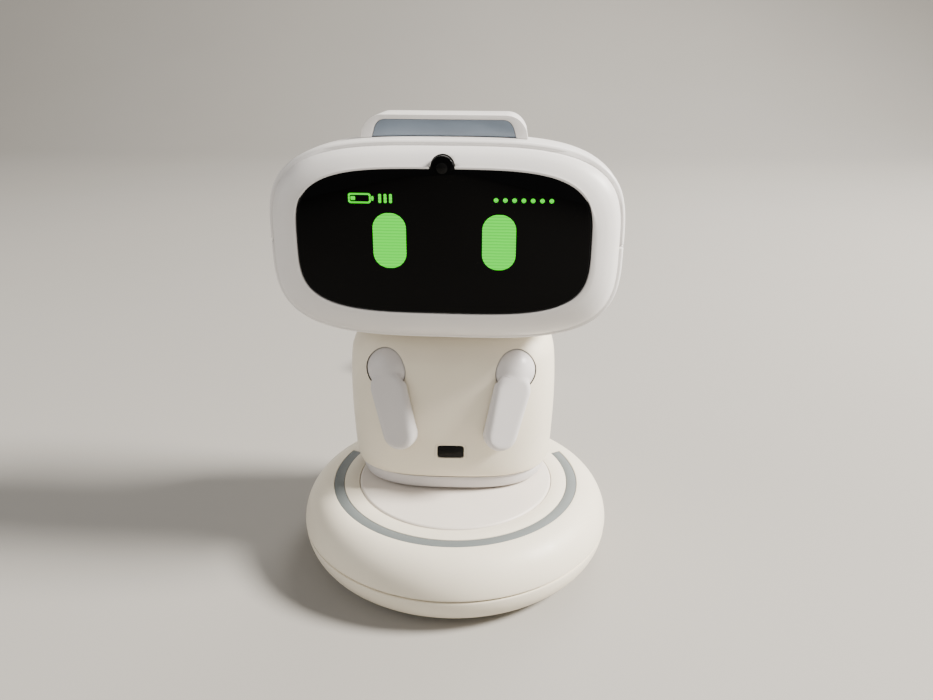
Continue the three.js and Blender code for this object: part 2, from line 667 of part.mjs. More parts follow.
function rearShells() {
  const whole = cut(facingLoft(REAR_LEVELS, HEAD_N, ROUND), rearHollow());
  const notch = block(-40, 40, HEAD_SEAM_Y - 1, HEAD_SEAM_Y + 0.9, HEAD_Z - 0.25, HEAD_Z + 0.25);
  const upper = cut(whole, block(-60, 60, -60, 60, 0, HEAD_Z + 0.1), notch);
  const slot = block(-NECK_R - 0.7, NECK_R + 0.7, -9.2, 8.9, 40, 62);
  const screwHoles = HEAD_SCREWS.map((x) => cylinderY(1.7, 4, 12, 12).translate(x, 0, HEAD_Z - 7));
  const lower = cut(whole, block(-60, 60, -60, 60, HEAD_Z - 0.1, 120), notch, slot, ...screwHoles);
  return [upper, lower];
}

const HEAD_SCREWS = [-14, 14];

function glassOutline(grow) {
  return superellipse(GLASS_W + 2 * grow, GLASS_H + 2 * grow, GLASS_N, ROUND);
}

function glassSolid(grow, y0, y1) {
  const pane = loft([y1, y0].map((y) => glassOutline(grow).map(([x, z]) => [x, y, z + GLASS_Z])));
  return join(pane, cylinderY(CAMERA_R + grow, y0, y1, FINE_ROUND).translate(0, 0, CAMERA_Z));
}

function headBezel() {
  const body = facingLoft([...BEZEL_LEVELS].reverse(), HEAD_N, ROUND);
  const hollowLevels = shrink(BEZEL_LEVELS, 1.9).slice(0, 3);
  hollowLevels[0][0] += 1;
  const hollow = facingLoft([...hollowLevels].reverse(), HEAD_N, ROUND);
  return cut(body, hollow, glassSolid(GAP, -26, -18));
}

function podShape(inset, topInset) {
  const base = POD_W_BASE / 2 - inset;
  const top = POD_W_TOP / 2 - inset;
  const round = 2.6 - inset * 0.7;
  const topZ = POD_TOP_Z - topInset;
  const baseZ = HEAD_Z + HEAD_H / 2 - 2.2;
  const shape = new THREE.Shape();
  shape.moveTo(-base, baseZ);
  shape.lineTo(base, baseZ);
  shape.lineTo(top + round * 0.45, topZ - round);
  shape.quadraticCurveTo(top, topZ, top - round, topZ);
  shape.lineTo(-top + round, topZ);
  shape.quadraticCurveTo(-top, topZ, -top - round * 0.45, topZ - round);
  shape.closePath();
  return shape;
}

function podSolid(inset, topInset, y0, y1) {
  const geometry = new THREE.ExtrudeGeometry(podShape(inset, topInset), {
    depth: y1 - y0, bevelEnabled: false, curveSegments: 5,
  });
  return geometry.rotateX(Math.PI / 2).translate(POD_X, y1, 0);
}

function headSkin(grow) {
  return facingLoft(shrink(REAR_LEVELS, -grow), HEAD_N, ROUND);
}

function topPod() {
  const recess = podSolid(POD_RIM, POD_TOP_RIM, POD_FRONT_Y - 1, POD_FRONT_Y + 1.4);
  return cut(podSolid(0, 0, POD_FRONT_Y, POD_BACK_Y), recess, headSkin(GAP));
}

function touchPanel() {
  const panel = podSolid(POD_RIM + GAP, POD_TOP_RIM + GAP, POD_FRONT_Y + 0.4, POD_FRONT_Y + 1.1);
  return cut(panel, headSkin(GAP * 2));
}

function cameraModule() {
  return join(cylinderY(1.6, -22.2, -19, 16).translate(0, 0, CAMERA_Z),
    block(-3, 3, -19.4, -16.6, CAMERA_Z - 3.4, CAMERA_Z + 1.6));
}

function neckTurntable() {
  const collar = turned([
    [0, 47.9],
    [NECK_R - 0.3, 47.9],
    [NECK_R - 0.3, 49],
    [NECK_R, 50.4],
    [NECK_R, 53],
    [0, 53],
  ], FINE_ROUND);
  return cut(collar, cylinderZ(2, 40, 49.4, 12));
}

function neckYoke() {
  const base = block(-6, 6, -3, 3, 53.3, 54.8);
  const ears = [-6, 4.4].map((x) => block(x, x + 1.6, -2.6, 2.6, 54.4, TILT_Z + 2.8));
  return cut(join(base, ...ears), cylinderX(PIN_R + GAP, -10, 10, 12).translate(0, 0, TILT_Z));
}

function headBoard() {
  return join(block(-20, 20, -15.4, -14.2, 60.5, 81), block(-6, 6, -14.3, -12.4, 70, 79),
    block(9, 16, -14.3, -12.6, 63, 69));
}

function buildHead() {
  const head = new THREE.Group();
  head.rotation.z = HEAD_YAW;
  const [upper, lower] = rearShells();
  addPart(head, 'neck_turntable', neckTurntable(), CREAM);
  addPart(head, 'neck_yoke', neckYoke(), STEEL);
  addPart(head, 'tilt_pin', cylinderX(PIN_R, -9.6, 9.6, 12), STEEL, [0, 0, TILT_Z]);
  addPart(head, 'tilt_motor', block(10.2, 18.6, -6, 4.4, 59.6, 71), MOTOR_BLUE);
  addPart(head, 'head_bezel', headBezel(), COOL_WHITE);
  addPart(head, 'display_glass', glassSolid(0, FACE_Y - 0.1, -22.6), BLACK_GLASS);
  addPart(head, 'display_panel', block(-21.5, 21.5, -22.2, -20.8, GLASS_Z - 11.2, GLASS_Z + 11), BLACK);
  addPart(head, 'camera_module', cameraModule(), BLACK);
  addPart(head, 'head_rear_upper', upper, COOL_WHITE);
  addPart(head, 'head_rear_lower', lower, COOL_WHITE);
  addPart(head, 'top_pod', topPod(), COOL_WHITE);
  addPart(head, 'touch_panel', touchPanel(), PANEL_BLUE);
  addPart(head, 'head_board', headBoard(), BOARD_GREEN);
  HEAD_SCREWS.forEach((x, i) => {
    addPart(head, `head_screw_${i + 1}`, screw(3, 0.6), STEEL, [x, 8.2, HEAD_Z - 7], [Math.PI / 2, 0, 0]);
  });
  return head;
}

buildDock();
buildLead();
buildBody();

export default root;
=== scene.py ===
"""Looks for the desktop robot on its charging dock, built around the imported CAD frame."""

import json
import math

import bmesh
import bpy
import numpy as np
from mathutils import Matrix, Vector


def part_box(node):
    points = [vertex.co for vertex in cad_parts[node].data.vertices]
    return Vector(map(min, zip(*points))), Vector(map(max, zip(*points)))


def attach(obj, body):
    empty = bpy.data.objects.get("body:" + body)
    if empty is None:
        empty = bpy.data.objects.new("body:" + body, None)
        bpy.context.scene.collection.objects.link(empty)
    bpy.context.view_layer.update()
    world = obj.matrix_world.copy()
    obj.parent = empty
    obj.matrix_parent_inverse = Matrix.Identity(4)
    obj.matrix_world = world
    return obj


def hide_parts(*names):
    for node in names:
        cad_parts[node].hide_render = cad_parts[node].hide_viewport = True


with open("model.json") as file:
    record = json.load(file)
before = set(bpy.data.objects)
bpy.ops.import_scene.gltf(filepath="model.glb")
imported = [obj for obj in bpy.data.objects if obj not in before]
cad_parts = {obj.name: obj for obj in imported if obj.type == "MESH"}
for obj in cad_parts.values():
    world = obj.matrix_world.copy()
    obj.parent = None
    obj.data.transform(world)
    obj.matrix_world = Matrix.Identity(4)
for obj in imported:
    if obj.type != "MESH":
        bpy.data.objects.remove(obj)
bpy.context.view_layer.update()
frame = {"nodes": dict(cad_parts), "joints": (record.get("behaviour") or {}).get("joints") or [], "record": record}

MM = 0.001
NODES = frame["nodes"]
JOINTS = {joint["name"]: joint for joint in frame["joints"]}

# ---- Frames of the three turned groups -----------------------------------------------------


def heading(axis):
    """Turn about Z that takes +X to this level axis."""
    return math.atan2(axis[1], axis[0])


NECK_X, NECK_Y, _ = (value / MM for value in JOINTS["head_turn"]["pos_m"])
BODY_TURN = heading(JOINTS["button_press"]["axis"]) + math.pi / 2
HEAD_TURN = heading(JOINTS["head_nod"]["axis"]) - math.pi
PLATE_TOP = 14.35
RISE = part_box("charging_plate")[1][2] / MM - PLATE_TOP
TO_DESK = Matrix.Identity(4)
TO_DOCK = Matrix.Translation((0, 0, RISE))
TO_BODY = Matrix.Translation((NECK_X, NECK_Y, RISE)) @ Matrix.Rotation(BODY_TURN, 4, "Z")
TO_HEAD = Matrix.Translation((NECK_X, NECK_Y, RISE)) @ Matrix.Rotation(HEAD_TURN, 4, "Z")

# ---- Sizes in millimetres -------------------------------------------------------------------

OUTLINE = 144  # points round a shell's outline
LATHE = 180  # sides of a turned piece
SHELL = 1.5  # wall thickness
SEAM = 0.2  # gap between two shells
FAR = 60  # past the edge of any piece, for cutters

DOCK_TOP = 14.0
DOCK_R = 33.6
DOCK_FLAT_R = 27.0
DOCK_UNDER_Z, DOCK_SEAM_Z = -0.9, 6.1
DOCK_UNDER_R, DOCK_SCREW_R = 27.4, 24.2
RING_IN, RING_OUT = 24.8, 26.95
RING_OPEN = math.radians(65.5)
PLATE_R = 21.3

BODY_W, BODY_D, BODY_N = 44.4, 32.8, 3.0
BODY_BASE, BODY_TOP = 18.3, 49.6
BODY_SPLIT_Y = 5.0
FOOT_N = 2.8
NECK_HOLE_R = 7.0
SENSOR_W, SENSOR_H, SENSOR_Z = 5.5, 2.9, 24.85
BUTTON_R, BUTTON_Z = 2.6, 30.0
BODY_SCREWS = [(x, z) for z in (23, 41) for x in (-14, 14)]
SCREW_SEAT_Y = 13.2

BALL_R, SOCKET_R = 5.2, 5.42
BAR_W, BAR_TIP_W, BAR_LEN, BAR_T = 8.0, 7.0, 16.9, 3.6
BAR_TOP, BAR_SHOULDER, BAR_EDGE_R = 0.3, -3.5, 1.3
ARM_TURN, ARM_LEAN = math.radians(14), math.radians(14.2)
ARM_REST = {-1: math.radians(7.5), 1: math.radians(6)}

HEAD_Z, HEAD_W, HEAD_H, HEAD_N = 69.95, 65.2, 37.0, 3.5
FACE_Y, HEAD_SEAM_Y, HEAD_BACK_Y = -23.7, -19.3, 10.0
BEZEL_W, BEZEL_H = 63.2, 35.0
GLASS_W, GLASS_H, GLASS_N, GLASS_Z = 52.5, 26.2, 3.7, 71.0
CAMERA_Z, CAMERA_R = GLASS_Z + GLASS_H / 2, 2.1
HEAD_SCREW_X, HEAD_SCREW_Z = 14.0, HEAD_Z - 7
NECK_R = 6.6
POD_WIDTH, POD_TOP_WIDTH, POD_X, POD_TOP = 31.0, 27.4, -0.5, 92.25
POD_FRONT, POD_BACK, POD_RIM, POD_TOP_RIM = -15.0, -4.0, 1.7, 0.75

EYE_W, EYE_H, EYE_GAP, EYE_X, EYE_Z = 5.95, 9.9, 19.5, 0.3, 71.3
MARK_X, DOTS_X, MARK_Z = 14.55, 9.4, 78.8  # battery, first dot, and the height of both
MARK_Y, MARK_T = -23.79, 0.02

LEAD_D, SOCKET_Z = 3.3, 6.6
PLUG_Z = SOCKET_Z + RISE
RELIEF_END = 55.0  # of the dock plug
COIL_X, COIL_Y, COIL_R, COIL_H = -1.0, 98.0, 19.0, 10.2
COIL_IN, COIL_OUT = 13.8, 24.2
CHANGE_FROM = 0.86  # share of a turn after which the lead moves over to the next one
USB_A_X, USB_A_Y, USB_A_Z = -11.5, 91.0, 14.1

# ---- Mesh helpers ---------------------------------------------------------------------------


def eased(t):
    """0 to 1 with a gentle start and end, held outside that range."""
    t = min(1.0, max(0.0, t))
    return t * t * (3 - 2 * t)


def superellipse(width, height, exponent, count=OUTLINE):
    """Points evenly spaced round a rounded rectangle whose sides bulge slightly."""
    angle = np.linspace(0, 2 * math.pi, 12 * count + 1)
    c, s = np.cos(angle), np.sin(angle)
    x = width / 2 * np.sign(c) * np.abs(c) ** (2 / exponent)
    y = height / 2 * np.sign(s) * np.abs(s) ** (2 / exponent)
    run = np.concatenate([[0], np.cumsum(np.hypot(np.diff(x), np.diff(y)))])
    at = np.linspace(0, run[-1], count, endpoint=False)
    return np.stack([np.interp(at, run, x), np.interp(at, run, y)], 1)


def smooth_line(points, steps=6):
    """A Catmull-Rom curve through points, with that many steps between each pair."""
    points = np.array(points, float)
    padded = np.vstack([2 * points[0] - points[1], points, 2 * points[-1] - points[-2]])
    out = []
    for p0, p1, p2, p3 in zip(padded, padded[1:], padded[2:], padded[3:]):
        for t in np.linspace(0, 1, steps, endpoint=False):
            out.append(0.5 * (2 * p1 + (p2 - p0) * t + (2 * p0 - 5 * p1 + 4 * p2 - p3) * t**2
                              + (3 * p1 - p0 - 3 * p2 + p3) * t**3))
    out.append(points[-1])
    return np.array(out)


def arc(cx, cy, radius, start, end, steps=5):
    """Points of an arc in a profile, in degrees."""
    return [(cx + radius * math.cos(math.radians(a)), cy + radius * math.sin(math.radians(a)))
            for a in np.linspace(start, end, steps + 1)]


def new_object(name, verts, faces, place=TO_DESK):
    """A closed mesh from points in millimetres, with its faces turned outwards."""
    mesh = bpy.data.meshes.new(name)
    mesh.from_pydata([tuple(place @ Vector(v) * MM) for v in verts], [], faces)
    bm = bmesh.new()
    bm.from_mesh(mesh)
    bmesh.ops.remove_doubles(bm, verts=bm.verts, dist=1e-7)
    bmesh.ops.recalc_face_normals(bm, faces=bm.faces)
    if bm.calc_volume(signed=True) < 0:
        bmesh.ops.reverse_faces(bm, faces=bm.faces)
    bm.to_mesh(mesh)
    bm.free()
    obj = bpy.data.objects.new(name, mesh)
    bpy.context.scene.collection.objects.link(obj)
    return obj


def loft(name, rings, place=TO_DESK, ring_closed=False):
    """A solid through rings of points. Its ends are capped, or joined if ring_closed."""
    rings = [np.asarray(ring) for ring in rings]
    count = len(rings[0])
    verts = [tuple(p) for ring in rings for p in ring]
    faces = []
    levels = len(rings)
    for level in range(levels if ring_closed else levels - 1):
        low, high = level * count, (level + 1) % levels * count
        for i in range(count):
            j = (i + 1) % count
            faces.append((low + i, low + j, high + j, high + i))
    if not ring_closed:
        faces.append(tuple(range(count))[::-1])
        faces.append(tuple(range((levels - 1) * count, levels * count)))
    return new_object(name, verts, faces, place)


def lathe(name, profile, place=TO_DESK, sides=LATHE):
    """A solid of revolution about Z. The profile closes on itself or ends on the axis."""
    on_axis = abs(profile[0][0]) < 1e-6
    body = [p for p in profile if p[0] > 1e-6]
    angles = np.linspace(0, 2 * math.pi, sides, endpoint=False)
    rings = [np.stack([r * np.cos(angles), r * np.sin(angles), np.full(sides, z)], 1) for r, z in body]
    return loft(name, rings, place, ring_closed=not on_axis)


def standing(levels, exponent):
    """Rings of a loft along Z from (z, width, depth)."""
    rings = []
    for z, width, depth in levels:
        flat = superellipse(width, depth, exponent)
        rings.append(np.column_stack([flat, np.full(len(flat), z)]))
    return rings


def facing(levels, exponent, middle):
    """Rings of a loft along Y from (y, width, height)."""
    rings = []
    for y, width, height in levels:
        flat = superellipse(width, height, exponent)
        rings.append(np.column_stack([flat[:, 0], np.full(len(flat), y), flat[:, 1] + middle]))
    return rings


def box(name, low, high, place=TO_DESK):
    """A block between two opposite corners."""
    (x0, y0, z0), (x1, y1, z1) = low, high
    ring = [(x0, y0), (x1, y0), (x1, y1), (x0, y1)]
    return loft(name, [[(x, y, z) for x, y in ring] for z in (z0, z1)], place)


def rod(name, radius, start, end, place=TO_DESK, sides=48):
    """A plain cylinder between two points."""
    start, end = Vector(start), Vector(end)
    turn = (end - start).to_track_quat("Z", "Y").to_matrix().to_4x4()
    profile = [(0, 0), (radius, 0), (radius, (end - start).length), (0, 0)]
    return lathe(name, profile, place @ Matrix.Translation(start) @ turn, sides)


def apply_modifiers(obj):
    """Turns what the modifiers give into the mesh itself."""
    graph = bpy.context.evaluated_depsgraph_get()
    mesh = bpy.data.meshes.new_from_object(obj.evaluated_get(graph))
    obj.modifiers.clear()
    obj.data = mesh
    return obj


def carve(obj, *cutters, operation="DIFFERENCE"):
    """Cuts the cutters out of obj, or adds them to it, then removes them."""
    for cutter in cutters:
        step = obj.modifiers.new("carve", "BOOLEAN")
        step.operation = operation
        step.solver = "MANIFOLD"
        step.object = cutter
        apply_modifiers(obj)
        if not obj.data.polygons:
            raise RuntimeError(f"nothing is left of {obj.name}")
        bpy.data.objects.remove(cutter)
    return obj


def copy_of(obj, name):
    """A second object with a mesh of its own."""
    twin = obj.copy()
    twin.data = obj.data.copy()
    twin.name = name
    bpy.context.scene.collection.objects.link(twin)
    return twin


def soften(obj, width=0.12, angle=40, segments=2):
    """Rounds the edges that turn more sharply than angle."""
    bm = bmesh.new()
    bm.from_mesh(obj.data)
    bmesh.ops.remove_doubles(bm, verts=bm.verts, dist=2e-6)
    bmesh.ops.dissolve_degenerate(bm, edges=bm.edges, dist=1e-6)
    bm.to_mesh(obj.data)
    bm.free()
    step = obj.modifiers.new("soften", "BEVEL")
    step.width = width * MM
    step.segments = segments
    step.limit_method = "ANGLE"
    step.angle_limit = math.radians(angle)
    step.use_clamp_overlap = True
    step.harden_normals = False
    return apply_modifiers(obj)


def shade(obj, angle=38):
    """Smooth shading that stays crisp across edges sharper than angle."""
    bm = bmesh.new()
    bm.from_mesh(obj.data)
    for face in bm.faces:
        face.smooth = True
    for edge in bm.edges:
        edge.smooth = len(edge.link_faces) == 2 and edge.calc_face_angle(0) < math.radians(angle)
    bm.to_mesh(obj.data)
    bm.free()
    return obj


def finish_piece(obj, body, slot, *replaced, look=None, angle=38):
    """Shades a piece, gives it its slot's look or another one, and hands it to its body."""
    shade(obj, angle)
    obj.data.materials.clear()
    obj.data.materials.append(LOOKS[look or slot])
    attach(obj, body)
    if replaced:
        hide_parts(*replaced)
    return obj


# ---- Materials ------------------------------------------------------------------------------


def noise(tree, scale, detail=4.0, rough=0.55):
    """Noise in object space, with its scale in repeats per metre."""
    place = tree.nodes.new("ShaderNodeTexCoord")
    made = tree.nodes.new("ShaderNodeTexNoise")
    made.inputs["Scale"].default_value = scale
    made.inputs["Detail"].default_value = detail
    made.inputs["Roughness"].default_value = rough
    tree.links.new(place.outputs["Object"], made.inputs["Vector"])
    return made.outputs["Fac"]


def ramp(tree, source, stops):
    """A colour ramp through (position, colour) stops."""
    made = tree.nodes.new("ShaderNodeValToRGB")
    elements = made.color_ramp.elements
    while len(elements) < len(stops):
        elements.new(0.5)
    for element, (at, colour) in zip(elements, stops):
        element.position = at
        element.color = (*colour, 1)
    tree.links.new(source, made.inputs["Fac"])
    return made.outputs["Color"]


def map_range(tree, source, low, high, from_low=0.3, from_high=0.7):
    """Stretches the middle of a noise to the range from low to high."""
    made = tree.nodes.new("ShaderNodeMapRange")
    limits = (("From Min", from_low), ("From Max", from_high), ("To Min", low), ("To Max", high))
    for key, value in limits:
        made.inputs[key].default_value = value
    tree.links.new(source, made.inputs["Value"])
    return made.outputs["Result"]


def bump(tree, sources):
    """A chain of bumps from (height output, strength, distance in metres)."""
    normal = None
    for height, strength, distance in sources:
        made = tree.nodes.new("ShaderNodeBump")
        made.inputs["Strength"].default_value = strength
        made.inputs["Distance"].default_value = distance
        tree.links.new(height, made.inputs["Height"])
        if normal is not None:
            tree.links.new(normal, made.inputs["Normal"])
        normal = made.outputs["Normal"]
    return normal


def shader(name, **settings):
    """A Principled material, its tree and its surface node."""
    material = bpy.data.materials.new(name)
    material.use_nodes = True
    surface = material.node_tree.nodes["Principled BSDF"]
    for key, value in settings.items():
        surface.inputs[key.replace("_", " ")].default_value = value
    return material, material.node_tree, surface


def tinted(colour, factor):
    """A colour made darker or lighter, up to white."""
    return tuple(min(1.0, channel * factor) for channel in colour)


def moulded(name, colour, roughness=0.42, grain=2600.0, grain_depth=0.000012, vary=0.035):
    """Moulded plastic: slow colour drift, uneven gloss, a fine grain and faint ripples."""
    material, tree, surface = shader(name, IOR=1.46)
    drift = noise(tree, 55.0, 3.0)
    colours = ramp(tree, drift, [(0.3, tinted(colour, 1 - vary)), (0.7, tinted(colour, 1 + vary))])
    tree.links.new(colours, surface.inputs["Base Color"])
    tree.links.new(map_range(tree, noise(tree, 320.0), roughness - 0.05, roughness + 0.06),
                   surface.inputs["Roughness"])
    fine = noise(tree, grain, 2.0)
    slow = noise(tree, 90.0, 2.0)
    relief = bump(tree, [(slow, 0.12, 0.0002), (fine, 0.35, grain_depth)])
    tree.links.new(relief, surface.inputs["Normal"])
    return material


def black_glass():
    """Near-black display glass with faint smears."""
    material, tree, surface = shader("display_glass_look", IOR=1.3, Specular_IOR_Level=0.17)
    smear = noise(tree, 130.0, 5.0, 0.65)
    tree.links.new(map_range(tree, smear, 0.035, 0.11, 0.45, 0.75), surface.inputs["Roughness"])
    tint = ramp(tree, noise(tree, 30.0, 2.0),
                [(0.35, (0.0006, 0.0006, 0.0007)), (0.7, (0.0012, 0.0012, 0.0014))])
    tree.links.new(tint, surface.inputs["Base Color"])
    return material


def gloss(name, colour, roughness=0.12, vary=0.1, ior=1.45):
    """Smooth glossy plastic or glass."""
    material, tree, surface = shader(name, IOR=ior)
    colours = ramp(tree, noise(tree, 90.0),
                   [(0.3, tinted(colour, 1 - vary)), (0.7, tinted(colour, 1 + vary))])
    tree.links.new(colours, surface.inputs["Base Color"])
    tree.links.new(map_range(tree, noise(tree, 400.0), roughness, roughness + 0.1),
                   surface.inputs["Roughness"])
    return material


def metal(name, colour, roughness=0.28):
    """Bare metal with uneven gloss and a fine grain."""
    material, tree, surface = shader(name, Metallic=1.0)
    colours = ramp(tree, noise(tree, 500.0), [(0.3, tinted(colour, 0.9)), (0.7, tinted(colour, 1.05))])
    tree.links.new(colours, surface.inputs["Base Color"])
    tree.links.new(map_range(tree, noise(tree, 1500.0), roughness - 0.08, roughness + 0.1),
                   surface.inputs["Roughness"])
    tree.links.new(bump(tree, [(noise(tree, 4000.0, 1.0), 0.2, 0.00001)]), surface.inputs["Normal"])
    return material


def board():
    """Solder mask with faint copper tracks under it."""
    material, tree, surface = shader("circuit_board_look", Roughness=0.4)
    place = tree.nodes.new("ShaderNodeTexCoord")
    tracks = tree.nodes.new("ShaderNodeTexBrick")
    tracks.inputs["Scale"].default_value = 420.0
    tracks.inputs["Color1"].default_value = (0.01, 0.10, 0.04, 1)
    tracks.inputs["Color2"].default_value = (0.015, 0.14, 0.055, 1)
    tracks.inputs["Mortar"].default_value = (0.03, 0.22, 0.09, 1)
    tree.links.new(place.outputs["Object"], tracks.inputs["Vector"])
    tree.links.new(tracks.outputs["Color"], surface.inputs["Base Color"])
    return material


def lit_green():
    """Lit display dots: green with the faint dark lines between the rows of dots."""
    material, tree, surface = shader("lit_green_look", Base_Color=(0.01, 0.02, 0.01, 1), Roughness=0.25)
    place = tree.nodes.new("ShaderNodeTexCoord")
    rows = tree.nodes.new("ShaderNodeTexWave")
    rows.wave_type = "BANDS"
    rows.bands_direction = "Z"
    rows.inputs["Scale"].default_value = 580.0
    rows.inputs["Distortion"].default_value = 0.6
    rows.inputs["Detail"].default_value = 1.0
    tree.links.new(place.outputs["Object"], rows.inputs["Vector"])
    colours = ramp(tree, rows.outputs["Fac"], [(0.2, (0.012, 0.62, 0.0)), (0.8, (0.03, 0.95, 0.0))])
    tree.links.new(colours, surface.inputs["Emission Color"])
    surface.inputs["Emission Strength"].default_value = 1.7
    return material


CREAM = (0.81, 0.745, 0.61)
COOL = (0.74, 0.72, 0.705)
LOOKS = {
    "cream_plastic": moulded("cream_plastic_look", CREAM, 0.46),
    "plate_plastic": moulded("plate_plastic_look", (0.74, 0.68, 0.61), 0.42),
    "cool_plastic": moulded("cool_plastic_look", COOL, 0.4),
    # painted shade: a darker copy of the cool plastic, for the arms and foot plate, which sit in shade under the
    # head
    "shaded_limb_plastic": moulded("limb_plastic_look", (0.61, 0.59, 0.59), 0.36),
    "lead_plastic": moulded("lead_plastic_look", (0.80, 0.78, 0.75), 0.5, 1800.0),
    "ring_grey": moulded("ring_grey_look", (0.15, 0.17, 0.172), 0.5, 3200.0),
    "touch_blue": gloss("touch_blue_look", (0.22, 0.27, 0.335), 0.16),
    "display_glass": black_glass(),
    "black_window": gloss("black_window_look", (0.003, 0.003, 0.003), 0.1, ior=1.2),
    "black_plastic": moulded("black_plastic_look", (0.02, 0.02, 0.022), 0.5),
    "rubber": moulded("rubber_look", (0.035, 0.035, 0.037), 0.75, 1500.0, 0.00003),
    "circuit_board": board(),
    "bright_metal": metal("bright_metal_look", (0.62, 0.63, 0.65)),
    "copper": metal("copper_look", (0.62, 0.25, 0.12), 0.35),
    "ferrite": moulded("ferrite_look", (0.05, 0.05, 0.055), 0.6),
    "foil": metal("foil_look", (0.45, 0.47, 0.5), 0.45),
    "motor_case": moulded("motor_case_look", (0.02, 0.05, 0.11), 0.4),
    "lit_green": lit_green(),
}
NODE_SLOTS = {part["node"]: part["material_slot"] for part in frame["record"]["subparts"]}
for name, obj in NODES.items():
    obj.data.materials.clear()
    obj.data.materials.append(LOOKS[NODE_SLOTS[name]])

# ---- Camera, floor and light ----------------------------------------------------------------


def make_camera():
    """The photo's view: a little above the head, looking down."""
    data = bpy.data.cameras.new("camera")
    data.sensor_width = 36.0
    data.lens = 29.3
    camera = bpy.data.objects.new("camera", data)
    bpy.context.scene.collection.objects.link(camera)
    pitch, roll = math.radians(21.3), math.radians(0.25)
    turn = Matrix.Rotation(math.pi / 2 - pitch, 4, "X") @ Matrix.Rotation(roll, 4, "Z")
    camera.matrix_world = Matrix.Translation((0.00234, -0.1493, 0.1024 + RISE * MM)) @ turn
    data.clip_start = 0.005
    bpy.context.scene.camera = camera


def make_floor():
    """A pale sweep: flat round the object, then curving up far behind it."""
    far, bend = 700, 500
    line = [(-1500, 0), (far, 0)]
    line += [(far + bend * math.sin(a), bend * (1 - math.cos(a)))
             for a in np.linspace(0, math.pi / 2, 24)[1:]]
    line += [(far + bend, 2500)]
    back = [(y + 10 * (z > 0), z - 10 * (z <= 0)) for y, z in line]
    rings = [[(x, y, z) for y, z in line + back[::-1]] for x in (-2500, 2500)]
    floor = loft("floor", rings)
    shade(floor, 30)
    material, tree, surface = shader("floor_look", Roughness=0.85)
    colours = ramp(tree, noise(tree, 3.0), [(0.3, (0.33, 0.315, 0.29)), (0.7, (0.35, 0.335, 0.31))])
    tree.links.new(colours, surface.inputs["Base Color"])
    floor.data.materials.append(material)


def area_light(name, place, target, size, power, colour=(1, 1, 1)):
    """A round area light that points at target."""
    data = bpy.data.lights.new(name, "AREA")
    data.shape = "DISK"
    data.size = size
    data.energy = power
    data.color = colour
    light = bpy.data.objects.new(name, data)
    bpy.context.scene.collection.objects.link(light)
    light.location = place
    light.rotation_euler = (Vector(target) - Vector(place)).to_track_quat("-Z", "Y").to_euler()


def make_light():
    """Soft studio light: key from the right, weak fill from the left, one from behind."""
    world = bpy.data.worlds.new("world")
    world.use_nodes = True
    world.node_tree.nodes["Background"].inputs["Color"].default_value = (1.0, 0.98, 0.955, 1)
    world.node_tree.nodes["Background"].inputs["Strength"].default_value = 0.36
    bpy.context.scene.world = world
    middle = (0, 0, 0.05)
    area_light("key", (0.80, -0.09, 0.66), middle, 0.26, 43.0, (1.0, 0.955, 0.885))
    area_light("fill", (-0.8, -0.28, 0.48), middle, 0.8, 3.0, (1.0, 0.97, 0.94))
    area_light("back", (0.3, 0.8, 0.7), middle, 0.6, 6.0, (1.0, 0.98, 0.95))


# ---- Charging lead --------------------------------------------------------------------------


def lead_route():
    """From the plug's strain relief over the desk, round a flat three-layer coil, to its USB-A end."""
    pitch, low = LEAD_D + 0.05, LEAD_D / 2
    points = [(0, RELIEF_END, PLUG_Z), (0, 58, 7.9), (0.2, 61, 6.8), (0.9, 64, 4.9), (2.2, 67, 3.0),
              (4.2, 70, 1.9), (6.7, 72.8, low), (9.3, 75.7, low), (12.2, 79.25, low)]
    inward = [COIL_R + pitch, COIL_R, COIL_R - pitch]
    turns = [(radius, low) for radius in inward]
    turns += [(radius, low + pitch) for radius in reversed(inward)]
    turns += [(radius, low + 2 * pitch) for radius in inward[:2]]
    # angles: where it joins the coil, where it leaves it, and how far round the last turn it lifts
    joins, leaves, lifts = math.radians(-42), math.pi, math.radians(110)
    top = turns[-1][1]
    steps = 72
    last = joins + 2 * math.pi * (len(turns) - 1)
    total = int(round((last + leaves - joins - joins) / (2 * math.pi) * steps))
    for step in range(total + 1):
        turn, part = divmod(step, steps)
        radius, height = turns[turn]
        if turn + 1 < len(turns):
            change = eased((part / steps - CHANGE_FROM) / (1 - CHANGE_FROM))
            radius += (turns[turn + 1][0] - radius) * change
            height += (turns[turn + 1][1] - height) * change
        angle = joins + 2 * math.pi * step / steps
        if turn + 1 == len(turns):
            climb = eased((angle - last - lifts + joins) / (leaves - lifts + 0.6))
            height = top + (USB_A_Z - top) * climb
        points.append((COIL_X + radius * math.cos(angle), COIL_Y + radius * math.sin(angle), height))
    bend = COIL_Y - USB_A_Y
    side = points[-1][0] + bend
    for turned in np.linspace(0, math.pi / 2, 7)[1:]:
        height = points[-1][2] + (USB_A_Z - points[-1][2]) * 0.4
        points.append((side - bend * math.cos(turned), COIL_Y - bend * math.sin(turned), height))
    points.append((USB_A_X, USB_A_Y, USB_A_Z))
    return points


